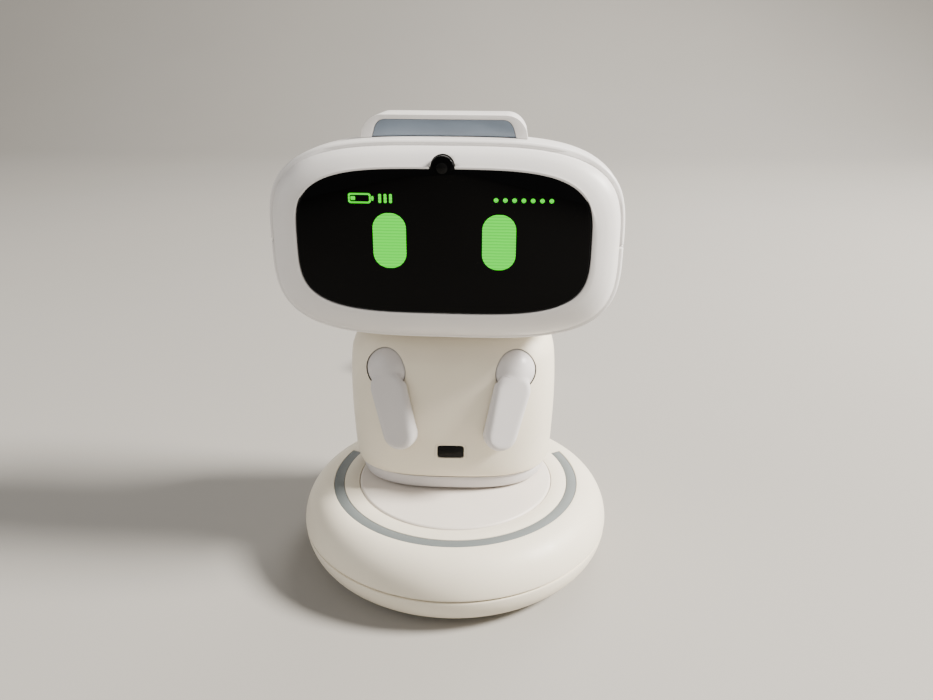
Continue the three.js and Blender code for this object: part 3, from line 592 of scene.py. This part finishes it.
def lead_tube(name, points, radius, sides=16, spacing=1.6):
    """A round cord swept along a smooth line, and that line in metres."""
    line = smooth_line(points, 8)
    run = np.concatenate([[0], np.cumsum(np.linalg.norm(np.diff(line, axis=0), axis=1))])
    at = np.linspace(0, run[-1], int(run[-1] / spacing) + 1)
    line = np.stack([np.interp(at, run, line[:, axis]) for axis in range(3)], 1)
    ahead = np.gradient(line, axis=0)
    ahead /= np.linalg.norm(ahead, axis=1)[:, None]
    side = Vector((1, 0, 0))
    rings = []
    for place, way in zip(line, ahead):
        way = Vector(way)
        side = (side - way * side.dot(way)).normalized()
        other = way.cross(side)
        rings.append([tuple(Vector(place) + radius * (math.cos(a) * side + math.sin(a) * other))
                      for a in np.linspace(0, 2 * math.pi, sides, endpoint=False)])
    return loft(name, rings), [tuple(p * MM) for p in line]


def usb_c_plug():
    """The plug in the back of the dock: moulded body with grips and relief, metal tip."""
    levels = [(34.2, 10.0, 5.0), (34.5, 10.9, 5.8), (35.4, 11.3, 6.1), (40, 11.4, 6.2),
              (45.6, 11.3, 6.1), (46.8, 10.3, 5.8), (48, 7.6, 5.1), (49, 6.2, 4.7),
              (51.5, 5.1, 4.4), (RELIEF_END, 4.3, 4.1)]
    body = loft("usb_c_plug_body", facing(smooth_line(levels, 5), 3.4, PLUG_Z))
    grips = [box("grip", (-6, y, PLUG_Z + 2.95), (6, y + 0.45, PLUG_Z + 4))
             for y in (38, 39.4, 40.8, 42.2)]
    slits = [box("slit", (x0, y, 0), (x0 + 3, y + 0.5, 20))
             for y in (49.6, 51.1, 52.6) for x0 in (-4.9, 1.9)]
    carve(body, *grips, *slits)
    soften(body, 0.08, 50)
    tip = loft("usb_c_plug_tip",
               facing([(27.3, 7.9, 2.1), (27.5, 8.2, 2.3), (34.4, 8.2, 2.3)], 5, PLUG_Z))
    carve(tip, loft("mouth", facing([(26, 7.2, 1.5), (33, 7.2, 1.5)], 5, PLUG_Z)))
    finish_piece(tip, "dock", "bright_metal", "usb_c_plug")
    return finish_piece(body, "dock", "lead_plastic", "usb_c_plug")


def usb_a_plug():
    """The plug at the far end: moulded body, metal can, tongue and contacts."""
    place = Matrix.Translation((USB_A_X, USB_A_Y, USB_A_Z)) @ Matrix.Rotation(-math.pi / 2, 4, "Z")
    levels = [(0.1, 4.1, 4.0), (3, 5.0, 4.7), (6, 6.4, 5.4), (7.4, 11.5, 6.6), (8.2, 14, 7.0),
              (9.4, 14.4, 7.2), (20.6, 14.4, 7.2), (22.2, 14.1, 7.0), (22.9, 13.3, 6.3)]
    body = loft("usb_a_plug_body", facing(smooth_line(levels, 5), 4, 0), place)
    slits = [box("slit", (x0, y, -5), (x0 + 3, y + 0.5, 5), place)
             for y in (1.6, 3.1, 4.6) for x0 in (-5.1, 2.1)]
    press = [loft("press", facing([(y, 6, 0.7), (y + 0.5, 6, 0.7)], 2, 3.7), place)
             for y in (12, 13.5, 15, 16.5)]
    carve(body, *slits, *press)
    soften(body, 0.08, 50)
    can = box("usb_a_plug_can", (-6, 22.4, -2.25), (6, 34.5, 2.25), place)
    carve(can, box("mouth", (-5.7, 24, -1.95), (5.7, 36, 1.95), place))
    soften(can, 0.12, 50)
    windows = [box("window", (x, 27.4, -4), (x + 2, 29.5, 4), place) for x in (-3.9, 1.9)]
    carve(can, *windows)
    tongue = box("usb_a_plug_tongue", (-5.4, 23.8, -1.9), (5.4, 33.9, 0.1), place)
    contacts = [box("contact", (x - 0.5, 26.5, 0.0), (x + 0.5, 33.2, 0.22), place)
                for x in (-3.6, -1.2, 1.2, 3.6)]
    contacts = carve(contacts[0], *contacts[1:], operation="UNION")
    contacts.name = "usb_a_plug_contacts"
    finish_piece(can, "dock", "bright_metal", "usb_a_plug")
    finish_piece(tongue, "dock", "black_plastic", "usb_a_plug")
    finish_piece(contacts, "dock", "copper", "usb_a_plug")
    return finish_piece(body, "dock", "lead_plastic", "usb_a_plug"), can, tongue, contacts


def coil_tie():
    """A soft strap round the coil at its far side."""
    place = Matrix.Translation((COIL_X, COIL_Y, 0))
    bend, thick, width = 1.4, 0.5, 6.8
    low, high, near, far = 0.25, COIL_H - 0.05, COIL_IN + 0.2, COIL_OUT - 0.1
    rounded = []
    for y, z, start in ((near + bend, low + bend, 180), (far - bend, low + bend, 270),
                        (far - bend, high - bend, 0), (near + bend, high - bend, 90)):
        rounded += arc(y, z, bend, start, start + 90)
    inner = [(y + math.copysign(thick, COIL_R - y), z + math.copysign(thick, COIL_H / 2 - z))
             for y, z in rounded]
    rings = [[(x, y, z) for y, z in rounded] for x in (-width / 2, width / 2)]
    strap = loft("cable_tie_strap", rings, place)
    carve(strap, loft("strap_inner", [[(x, y, z) for y, z in inner] for x in (-4, 4)], place))
    soften(strap, 0.1, 50)
    return finish_piece(strap, "dock", "rubber", "cable_tie")


def build_lead():
    """The lead with both plugs and its tie."""
    plug = usb_c_plug()
    end, can, tongue, contacts = usb_a_plug()
    tie = coil_tie()
    lead, line = lead_tube("charging_lead_cord", lead_route(), LEAD_D / 2)
    finish_piece(lead, "dock", "lead_plastic", "charging_lead", "lead_coil")


# ---- Dock -----------------------------------------------------------------------------------


def corner(r0, z0, dr, dz, rising_first, steps=20):
    """A quarter ellipse of a lathe profile."""
    out = []
    for t in np.linspace(0, math.pi / 2, steps + 1):
        first = 1 - math.cos(t) if rising_first else math.sin(t)
        second = math.sin(t) if rising_first else 1 - math.cos(t)
        out.append((r0 + dr * first, z0 + dz * second))
    return out


def socket_slot(grow):
    """The opening for the USB-C plug in the back of the dock."""
    width, height = 9 + 2 * grow, 3.3 + 2 * grow
    return loft("slot", facing([(20, width, height), (40, width, height)], 5, SOCKET_Z), TO_DOCK)


def at_screws(radius, low, high):
    """Four rods on the circle of the dock's screws."""
    spots = [(DOCK_SCREW_R * math.cos(a), DOCK_SCREW_R * math.sin(a))
             for a in (math.radians(45 + 90 * i) for i in range(4))]
    return [rod("screw_hole", radius, (x, y, low), (x, y, high), TO_DOCK, 32) for x, y in spots]


def dock_base():
    """The lower shell, with the groove for the rubber ring and four screw holes."""
    rim = DOCK_R - 0.1
    top = DOCK_SEAM_Z - SEAM
    outer = corner(DOCK_UNDER_R, DOCK_UNDER_Z, rim - DOCK_UNDER_R, top - DOCK_UNDER_Z, False)
    inner = [(r - SHELL, min(z + SHELL, top)) for r, z in reversed(outer)]
    groove = [(21.6, DOCK_UNDER_Z), (21.6, -0.35), (26.3, -0.35), (26.3, DOCK_UNDER_Z)]
    profile = [(0, DOCK_UNDER_Z)] + groove + outer
    profile += [(rim - SHELL, top)] + inner[1:] + [(0, 0.6)]
    shell = lathe("dock_base_cover", profile, TO_DOCK)
    carve(shell, *at_screws(1.8, -2, 2.6), socket_slot(0.3))
    soften(shell, 0.12, 35)
    return finish_piece(shell, "dock", "cream_plastic", "dock_base_shell")


def ring_band(name, grow, low, high, steps=150):
    """The C-shaped band round the dock, open at the back."""
    opening = RING_OPEN - grow / RING_OUT
    angles = np.linspace(math.pi / 2 + opening, math.pi / 2 - opening + 2 * math.pi, steps)
    r0, r1 = RING_IN - grow, RING_OUT + grow
    rings = []
    for angle in angles:
        c, s = math.cos(angle), math.sin(angle)
        rings.append([(r * c, r * s, z) for r, z in ((r0, low), (r1, low), (r1, high), (r0, high))])
    return loft(name, rings, TO_DOCK)


def dock_top():
    """The upper shell, with the groove for the band and the seat of the plate."""
    outer = corner(DOCK_R, DOCK_SEAM_Z, DOCK_FLAT_R - DOCK_R, DOCK_TOP - DOCK_SEAM_Z, True, 28)
    outer[0] = (DOCK_R - 0.4, DOCK_SEAM_Z)
    inner = [(r - SHELL if r > 30 else r - 0.8, z - (0 if z < 8 else 1.6)) for r, z in reversed(outer)]
    seat = [(PLATE_R + 0.15, DOCK_TOP), (PLATE_R + 0.15, 11.6), (19.5, 11.6), (19.5, 10.1),
            (23.2, 10.1), (23.2, 12.2)]
    shell = lathe("dock_top_cover", outer + seat + inner, TO_DOCK)
    carve(shell, ring_band("groove", 0.1, 13.1, 16), socket_slot(0.3))
    soften(shell, 0.16, 35)
    return finish_piece(shell, "dock", "cream_plastic", "dock_top_shell")


def build_dock():
    """Both shells, the grey band, the charging plate and the rubber ring."""
    dock_base()
    dock_top()
    band = ring_band("dock_light_band", 0.0, 13.15, DOCK_TOP - 0.02)
    soften(band, 0.14, 40)
    finish_piece(band, "dock", "ring_grey", "dock_light_ring")
    edge = arc(PLATE_R - 0.55, PLATE_TOP - 0.56, 0.55, 0, 90, 8)
    plate = lathe("charging_plate_top", [(0, 11.9), (PLATE_R, 11.9)] + edge + [(0, PLATE_TOP)], TO_DOCK)
    finish_piece(plate, "dock", "plate_plastic", "charging_plate")
    foot = lathe("dock_rubber_foot",
                 [(21.8, 0.2), (22.0, 0), (25.9, 0), (26.1, 0.2), (26.1, 1), (21.8, 1)])
    finish_piece(foot, "dock", "rubber", "dock_rubber_ring", angle=60)


# ---- Body and arms --------------------------------------------------------------------------

BODY_LEVELS = [(z, BODY_W - less, BODY_D - less) for z, less in (
    (BODY_BASE, 3), (19, 1.9), (21.5, 1), (26, 0.5), (32, 0.1), (38, 0.2), (43, 0.8), (45.4, 1.8),
    (47.6, 4.2), (49, 7.4), (BODY_TOP, 10.8))]


def across_shoulder(side):
    """The frame at the middle of an arm's ball, with +X along its hinge."""
    joint = JOINTS["right_arm_swing" if side < 0 else "left_arm_swing"]
    middle = [value / MM for value in joint["pos_m"]]
    return Matrix.Translation(middle) @ Matrix.Rotation(BODY_TURN, 4, "Z")


def at_shoulder(side):
    """The arm's own frame: origin in the ball, +Z up along the bar, -Y out of its front."""
    return (across_shoulder(side) @ Matrix.Rotation(side * ARM_TURN, 4, "Z")
            @ Matrix.Rotation(side * ARM_LEAN, 4, "Y") @ Matrix.Rotation(-ARM_REST[side], 4, "X"))


def sphere(name, radius, place, steps=40):
    """A ball about the origin of place."""
    profile = [(0, -radius)] + arc(0, 0, radius, -88, 88, steps) + [(0, radius)]
    return lathe(name, profile, place, 80)


def body_shell():
    """The whole body shell, hollow, with the neck hole and two round sockets."""
    dense = smooth_line(BODY_LEVELS, 6)
    crown = [(BODY_TOP, dense[-1][1] - 0.4, dense[-1][2] - 0.4)]
    outer = loft("body_shell", standing(list(dense) + crown, BODY_N), TO_BODY)
    low = dense[0]
    within = [(z - 0.9 if z > 48 else z, w - 2 * SHELL, d - 2 * SHELL) for z, w, d in dense[1:]]
    within = [level for level in within if level[0] < BODY_TOP - SHELL]
    within.insert(0, (low[0] - 2, low[1] - 2 * SHELL, low[2] - 2 * SHELL))
    within.append((BODY_TOP - SHELL, within[-1][1] - 0.5, within[-1][2] - 0.5))
    carve(outer, loft("hollow", standing(within, BODY_N), TO_BODY))
    carve(outer, rod("neck_hole", NECK_HOLE_R, (0, 0, 44), (0, 0, 55), TO_BODY, 120))
    return carve(outer, *[sphere("socket", SOCKET_R, at_shoulder(side)) for side in (-1, 1)])


def sensor_block(name, grow, y0, y1, exponent=7):
    """A rounded block that is this much wider and higher than the sensor window."""
    width, height = SENSOR_W + grow, SENSOR_H + grow
    return loft(name, facing([(y0, width, height), (y1, width, height)], exponent, SENSOR_Z), TO_BODY)


def body_front(shell):
    """The front of the body shell, with the opening for the sensor window."""
    carve(shell, box("rear_half", (-FAR, BODY_SPLIT_Y - SEAM / 2, 0), (FAR, FAR, 90), TO_BODY))
    carve(shell, sensor_block("window", 1.08, -20, -12, 6))
    soften(shell, 0.14, 32)
    return finish_piece(shell, "robot", "cream_plastic", "body_front_shell")


def body_rear(shell):
    """The back of the body shell, with the button hole and screw bosses."""
    carve(shell, box("front_half", (-FAR, -FAR, 0), (FAR, BODY_SPLIT_Y + SEAM / 2, 90), TO_BODY))
    carve(shell, rod("button_hole", BUTTON_R + 0.15, (0, 10, BUTTON_Z), (0, 20, BUTTON_Z), TO_BODY, 64))
    for x, z in BODY_SCREWS:
        carve(shell, rod("boss", 2.3, (x, 9.5, z), (x, 14.3, z), TO_BODY), operation="UNION")
        carve(shell, rod("seat", 1.6, (x, SCREW_SEAT_Y, z), (x, 20, z), TO_BODY),
              rod("bore", 0.8, (x, 9, z), (x, 20, z), TO_BODY))
    soften(shell, 0.14, 32)
    return finish_piece(shell, "robot", "cream_plastic", "body_rear_shell")


def bar_outline():
    """The bar seen from the front, in X and Z: rounded at the tip, wider and domed at the shoulder."""
    half, tip = BAR_W / 2, BAR_TIP_W / 2
    low = tip - BAR_LEN
    points = [(tip * math.cos(a), low + tip * math.sin(a)) for a in np.linspace(0, -math.pi, 28)]
    points += [(-half, BAR_SHOULDER)]
    dome = np.linspace(0, 1, 12)[1:]
    rise = [((1 - t) ** 2 * half + 2 * t * (1 - t) * half * 0.85,
             (1 - t) ** 2 * BAR_SHOULDER + (2 * t * (1 - t) + t * t) * BAR_TOP) for t in dome]
    points += [(-x, z) for x, z in rise[:-1]] + [(0, BAR_TOP)] + [(x, z) for x, z in rise[-2::-1]]
    return points + [(half, BAR_SHOULDER)]


def arm(side, word):
    """A ball and a flat bar blended into one moulding. The bar's back follows the body's front."""
    rings = []
    front = [(BAR_EDGE_R - BAR_EDGE_R * math.sin(t), BAR_EDGE_R * (1 - math.cos(t)))
             for t in np.linspace(1.4, 0.1, 7)]
    for back, inset in front + [(BAR_T - 0.3, 0.0), (BAR_T, 0.3)]:
        ring = []
        for x, z in bar_outline():
            spine = Vector((0, 0, min(max(z, BAR_TIP_W / 2 - BAR_LEN), BAR_SHOULDER)))
            away = Vector((x, 0, z)) - spine
            place = spine + away * (1 - inset / away.length)
            ring.append((place.x, back - BALL_R, place.z))
        rings.append(ring)
    bar = loft(f"arm_{word}_form", rings, at_shoulder(side))
    skin = [(z, w + 0.7, d + 0.7) for z, w, d in smooth_line(BODY_LEVELS, 4)]
    carve(bar, loft("skin", standing(skin, BODY_N), TO_BODY))
    carve(bar, sphere("arm_ball", BALL_R - 0.02, at_shoulder(side)), operation="UNION")
    step = bar.modifiers.new("blend", "REMESH")
    step.mode = "VOXEL"
    step.voxel_size = 0.22 * MM
    apply_modifiers(bar)
    step = bar.modifiers.new("smooth", "SMOOTH")
    step.factor = 0.5
    step.iterations = 18
    apply_modifiers(bar)
    for front, low in ((-8, -0.9), (-4.4, -2.6)):
        beyond = box("beyond_the_ball", (-8, front, low), (8, 8, 8), at_shoulder(side))
        carve(bar, carve(beyond, sphere("round", SOCKET_R - 0.05, at_shoulder(side))))
    carve(bar, rod("shaft_bore", 1.0, (-side * 2, 0, 0), (-side * 9, 0, 0), across_shoulder(side)))
    # the arm takes the darker copy of the cool plastic: painted shade
    return finish_piece(bar, f"{word}_arm", "cool_plastic", f"arm_{word}",
                        look="shaded_limb_plastic", angle=60)


def build_body():
    """The shells, foot, sensor window, power button and both arms."""
    shell = body_shell()
    front = copy_of(shell, "body_front_cover")
    shell.name = "body_rear_cover"
    body_front(front)
    body_rear(shell)
    foot_levels = smooth_line([(14.66, 38.2, 26.6), (14.9, 39.2, 27.6), (15.6, 40.4, 28.8),
                               (17.2, 41.3, 29.7), (18, 41.2, 29.6)], 5)
    foot = loft("foot_base", standing(foot_levels, FOOT_N), TO_BODY)
    # the foot plate takes the darker copy of the cool plastic: painted shade
    finish_piece(foot, "robot", "cool_plastic", "foot_plate", look="shaded_limb_plastic")
    rim = sensor_block("sensor_window_rim", 1.0, -16.12, -13.8, 6)
    carve(rim, sensor_block("hole", 0.1, -18, -12))
    soften(rim, 0.06, 50)
    finish_piece(rim, "robot", "cool_plastic", "sensor_rim", look="cream_plastic")
    window = sensor_block("sensor_window_lens", -0.1, -15.98, -14)
    soften(window, 0.2, 50)
    finish_piece(window, "robot", "black_window", "sensor_window")
    press = [(0, 0), (BUTTON_R - 0.05, 0), (BUTTON_R - 0.05, 1.7)]
    press += arc(BUTTON_R - 0.6, 1.7, 0.55, 0, 90) + [(1.6, 2.2), (0, 2.05)]
    backwards = Matrix.Translation((0, 14.8, BUTTON_Z)) @ Matrix.Rotation(-math.pi / 2, 4, "X")
    button = lathe("power_button_cap", press, TO_BODY @ backwards, 64)
    finish_piece(button, "button", "cool_plastic", "power_button")
    for side, word in ((-1, "right"), (1, "left")):
        arm(side, word)


# ---- Head -----------------------------------------------------------------------------------

REAR_LEVELS = [(y, HEAD_W - less, HEAD_H - less) for y, less in (
    (HEAD_SEAM_Y, 0.9), (HEAD_SEAM_Y + 0.3, 0.2), (HEAD_SEAM_Y + 1.0, 0), (-12, 0), (-6, 0.8), (0, 3),
    (4.5, 7), (7.6, 12), (9.3, 17.5), (HEAD_BACK_Y, 23))]


def rear_whole():
    """The hollow shell behind the bezel, before it is parted."""
    dense = list(smooth_line(REAR_LEVELS[:3], 2)[:-1]) + list(smooth_line(REAR_LEVELS[2:], 7))
    whole = loft("head_rear", facing(dense, HEAD_N, HEAD_Z), TO_HEAD)
    within = [(HEAD_SEAM_Y - 2, HEAD_W - 3.4, HEAD_H - 3.4)]
    within += [(y, w - 2 * SHELL, h - 2 * SHELL) for y, w, h in dense if -18 < y < HEAD_BACK_Y - 2]
    within.append((HEAD_BACK_Y - SHELL, within[-1][1] - 2, within[-1][2] - 2))
    return carve(whole, loft("hollow", facing(within, HEAD_N, HEAD_Z), TO_HEAD))


def head_rear():
    """The upper and lower rear shells, parted at mid height."""
    lower = rear_whole()
    lower.name = "head_rear_lower_cover"
    carve(lower, box("notch", (-40, HEAD_SEAM_Y - 1, HEAD_Z - 0.3),
                     (40, HEAD_SEAM_Y + 1.1, HEAD_Z + 0.3), TO_HEAD))
    upper = copy_of(lower, "head_rear_upper_cover")
    carve(upper, box("below", (-FAR, -FAR, 0), (FAR, FAR, HEAD_Z + SEAM / 2), TO_HEAD))
    carve(lower, box("above", (-FAR, -FAR, HEAD_Z - SEAM / 2), (FAR, FAR, 130), TO_HEAD),
          box("neck_slot", (-NECK_R - 0.7, -9.2, 40), (NECK_R + 0.7, 8.9, 62), TO_HEAD),
          *[rod("screw_hole", 1.7, (x, 4, HEAD_SCREW_Z), (x, 12, HEAD_SCREW_Z), TO_HEAD)
            for x in (-HEAD_SCREW_X, HEAD_SCREW_X)])
    for half, node_name in ((upper, "head_rear_upper"), (lower, "head_rear_lower")):
        soften(half, 0.13, 32)
        finish_piece(half, "head", "cool_plastic", node_name)


def glass_rings(levels):
    """Outlines of the display glass, each (y, how much wider than the glass)."""
    rings = []
    for y, grow in levels:
        flat = superellipse(GLASS_W + 2 * grow, GLASS_H + 2 * grow, GLASS_N)
        rings.append(np.column_stack([flat[:, 0], np.full(len(flat), y), flat[:, 1] + GLASS_Z]))
    return rings


def blend_rings(first, second, parts):
    """Rings between two outlines; parts are (y, share of the way)."""
    return [np.column_stack([first[:, 0] + (second[:, 0] - first[:, 0]) * t, np.full(len(first), y),
                             first[:, 2] + (second[:, 2] - first[:, 2]) * t]) for y, t in parts]


def head_bezel():
    """The rounded front frame, as one closed loop from its outer edge to the glass and back."""
    def outline(y, less):
        return facing([(y, BEZEL_W - less, BEZEL_H - less)], HEAD_N, HEAD_Z)[0]
    front = [(-19.5, 0.1), (-20.1, 0.0), (-20.8, 0.5), (-21.9, 2.1), (-22.8, 4.6), (-23.35, 7),
             (-23.62, 8.6)]
    outer = [outline(y, less) for y, less in smooth_line(front, 4)]
    opening = glass_rings([(FACE_Y, 0.22)])[0]
    lip = blend_rings(outer[-1], opening, [(-23.68, 0.4), (-23.7, 0.8), (-23.7, 1.0)])
    inside = glass_rings([(-23.62, 0.12), (-23.4, 0.08), (-21.5, 0.08)])
    back = [outline(-21.0, 6.0), outline(-19.6, 4.0), outline(-19.5, 3.6)]
    bezel = loft("head_bezel_frame", outer + lip + inside + back, TO_HEAD, ring_closed=True)
    carve(bezel, rod("camera_seat", CAMERA_R + 0.15, (0, -26, CAMERA_Z), (0, -19, CAMERA_Z),
                     TO_HEAD, 64))
    soften(bezel, 0.1, 45)
    return finish_piece(bezel, "head", "cool_plastic", "head_bezel")


def display_glass():
    """The glass with the camera window standing in its top edge, and the lens."""
    pane = loft("display_pane", glass_rings(
        [(-22.5, 0), (-23.4, 0), (-23.6, -0.05), (-23.72, -0.16), (-23.78, -0.35)]), TO_HEAD)
    rise = [(0, 0), (CAMERA_R, 0), (CAMERA_R, 0.9)]
    rise += arc(CAMERA_R - 0.3, 0.98, 0.3, 0, 90, 4) + [(0, 1.28)]
    front = TO_HEAD @ Matrix.Translation((0, -22.5, CAMERA_Z)) @ Matrix.Rotation(math.pi / 2, 4, "X")
    carve(pane, lathe("camera_dot", rise, front, 72), operation="UNION")
    finish_piece(pane, "head", "display_glass", "display_glass")
    lens = lathe("camera_lens",
                 [(0, 1.22), (0.85, 1.22), (0.95, 1.33), (0.9, 1.36), (0, 1.3)], front, 48)
    finish_piece(lens, "head", "black_window")


def rounded_outline(width, height, radius, count=8):
    """A rounded rectangle in X and Z, about the origin."""
    out = []
    for sx, sz, start in ((1, 1, 0), (-1, 1, 90), (-1, -1, 180), (1, -1, 270)):
        cx, cz = sx * (width / 2 - radius), sz * (height / 2 - radius)
        out += arc(cx, cz, radius, start, start + 90, count)
    return np.array(out)


def lit_mark(name, outline, x, z):
    """A very thin lit shape just in front of the glass."""
    rings = [[(px + x, y, pz + z) for px, pz in outline] for y in (MARK_Y, MARK_Y - MARK_T)]
    return finish_piece(loft(name, rings, TO_HEAD), "head", "display_glass", look="lit_green")


def display_marks():
    """Two upright pill-shaped eyes, a battery with bars and a row of dots, all lit green."""
    for x, word in ((-EYE_GAP / 2, "right"), (EYE_GAP / 2, "left")):
        outline = rounded_outline(EYE_W, EYE_H, EYE_W * 0.46, 16)
        lit_mark(f"eye_{word}", outline, x + EYE_X, EYE_Z)
    case = lit_mark("battery_mark", rounded_outline(4.0, 1.8, 0.45), -MARK_X, MARK_Z)
    hole = [(x - MARK_X, z + MARK_Z) for x, z in rounded_outline(3.4, 1.2, 0.25)]
    carve(case, loft("hole", [[(x, y, z) for x, z in hole] for y in (-25, -22)], TO_HEAD))
    lit_mark("battery_tip_mark", rounded_outline(0.4, 0.8, 0.12), 2.3 - MARK_X, MARK_Z)
    lit_mark("battery_level_mark", rounded_outline(0.8, 0.7, 0.1), -1.15 - MARK_X, MARK_Z)
    for i in range(3):
        bar = rounded_outline(0.5, 1.6, 0.2)
        lit_mark(f"status_bar_{i + 1}", bar, 3.6 + 0.95 * i - MARK_X, MARK_Z)
    for i in range(7):
        lit_mark(f"status_dot_{i + 1}", superellipse(0.8, 0.8, 2, 40), DOTS_X + 1.6 * i, MARK_Z)


def pod_outline(inset, top_inset):
    """The trapezoid on top of the head, seen from the front."""
    base, top = POD_WIDTH / 2 - inset, POD_TOP_WIDTH / 2 - inset
    round_r, top_z = 2.6 - inset * 0.7, POD_TOP - top_inset
    base_z = HEAD_Z + HEAD_H / 2 - 2.2
    points = [(-base, base_z), (base, base_z)]
    start = np.array((top + round_r * 0.45, top_z - round_r))
    for control_sign in (1, -1):
        p0 = np.array((control_sign * start[0], start[1]))
        p1 = np.array((control_sign * top, top_z))
        p2 = np.array((control_sign * (top - round_r), top_z))
        curve = [(1 - t) ** 2 * p0 + 2 * t * (1 - t) * p1 + t * t * p2 for t in np.linspace(0, 1, 14)]
        points += [tuple(p) for p in (curve if control_sign > 0 else curve[::-1])]
    return points


def pod_block(name, inset, top_inset, y0, y1):
    """A slab with the pod's outline."""
    outline = pod_outline(inset, top_inset)
    return loft(name, [[(x + POD_X, y, z) for x, z in outline] for y in (y0, y1)], TO_HEAD)


def head_skin(grow):
    """The head's outer surface as a solid, a little larger."""
    dense = smooth_line(REAR_LEVELS[2:], 5)
    levels = [(HEAD_SEAM_Y - 3, HEAD_W + 2 * grow, HEAD_H + 2 * grow)]
    levels += [(y, w + 2 * grow, h + 2 * grow) for y, w, h in dense]
    return loft("skin", facing(levels, HEAD_N, HEAD_Z), TO_HEAD)


def top_pod():
    """The pod on the head, and the touch panel recessed in its front."""
    pod = pod_block("top_pod_cover", 0, 0, POD_FRONT, POD_BACK)
    carve(pod, pod_block("recess", POD_RIM, POD_TOP_RIM, POD_FRONT - 1, POD_FRONT + 1.4),
          head_skin(0.08))
    soften(pod, 0.35, 40, 4)
    finish_piece(pod, "head", "cool_plastic", "top_pod")
    panel = pod_block("touch_panel_pane", POD_RIM + 0.08, POD_TOP_RIM + 0.08,
                      POD_FRONT + 0.35, POD_FRONT + 1.1)
    carve(panel, head_skin(0.15))
    soften(panel, 0.1, 40, 3)
    finish_piece(panel, "head", "touch_blue", "touch_panel")


def neck():
    """The round collar that the head turns on."""
    collar = [(0, 47.9), (NECK_R - 0.35, 47.9), (NECK_R - 0.3, 49)]
    collar += arc(NECK_R - 0.6, 50.0, 0.6, -20, 0) + [(NECK_R, 52.6)]
    collar += arc(NECK_R - 0.4, 52.6, 0.4, 10, 90) + [(0, 53)]
    finish_piece(lathe("neck_collar", collar, TO_HEAD, 96), "neck", "cream_plastic", "neck_turntable")


def build_head():
    """The neck and everything above it."""
    neck()
    head_rear()
    head_bezel()
    display_glass()
    display_marks()
    top_pod()


# ---- The scene ------------------------------------------------------------------------------

make_camera()
build_lead()
build_dock()
build_body()
build_head()
make_floor()
make_light()
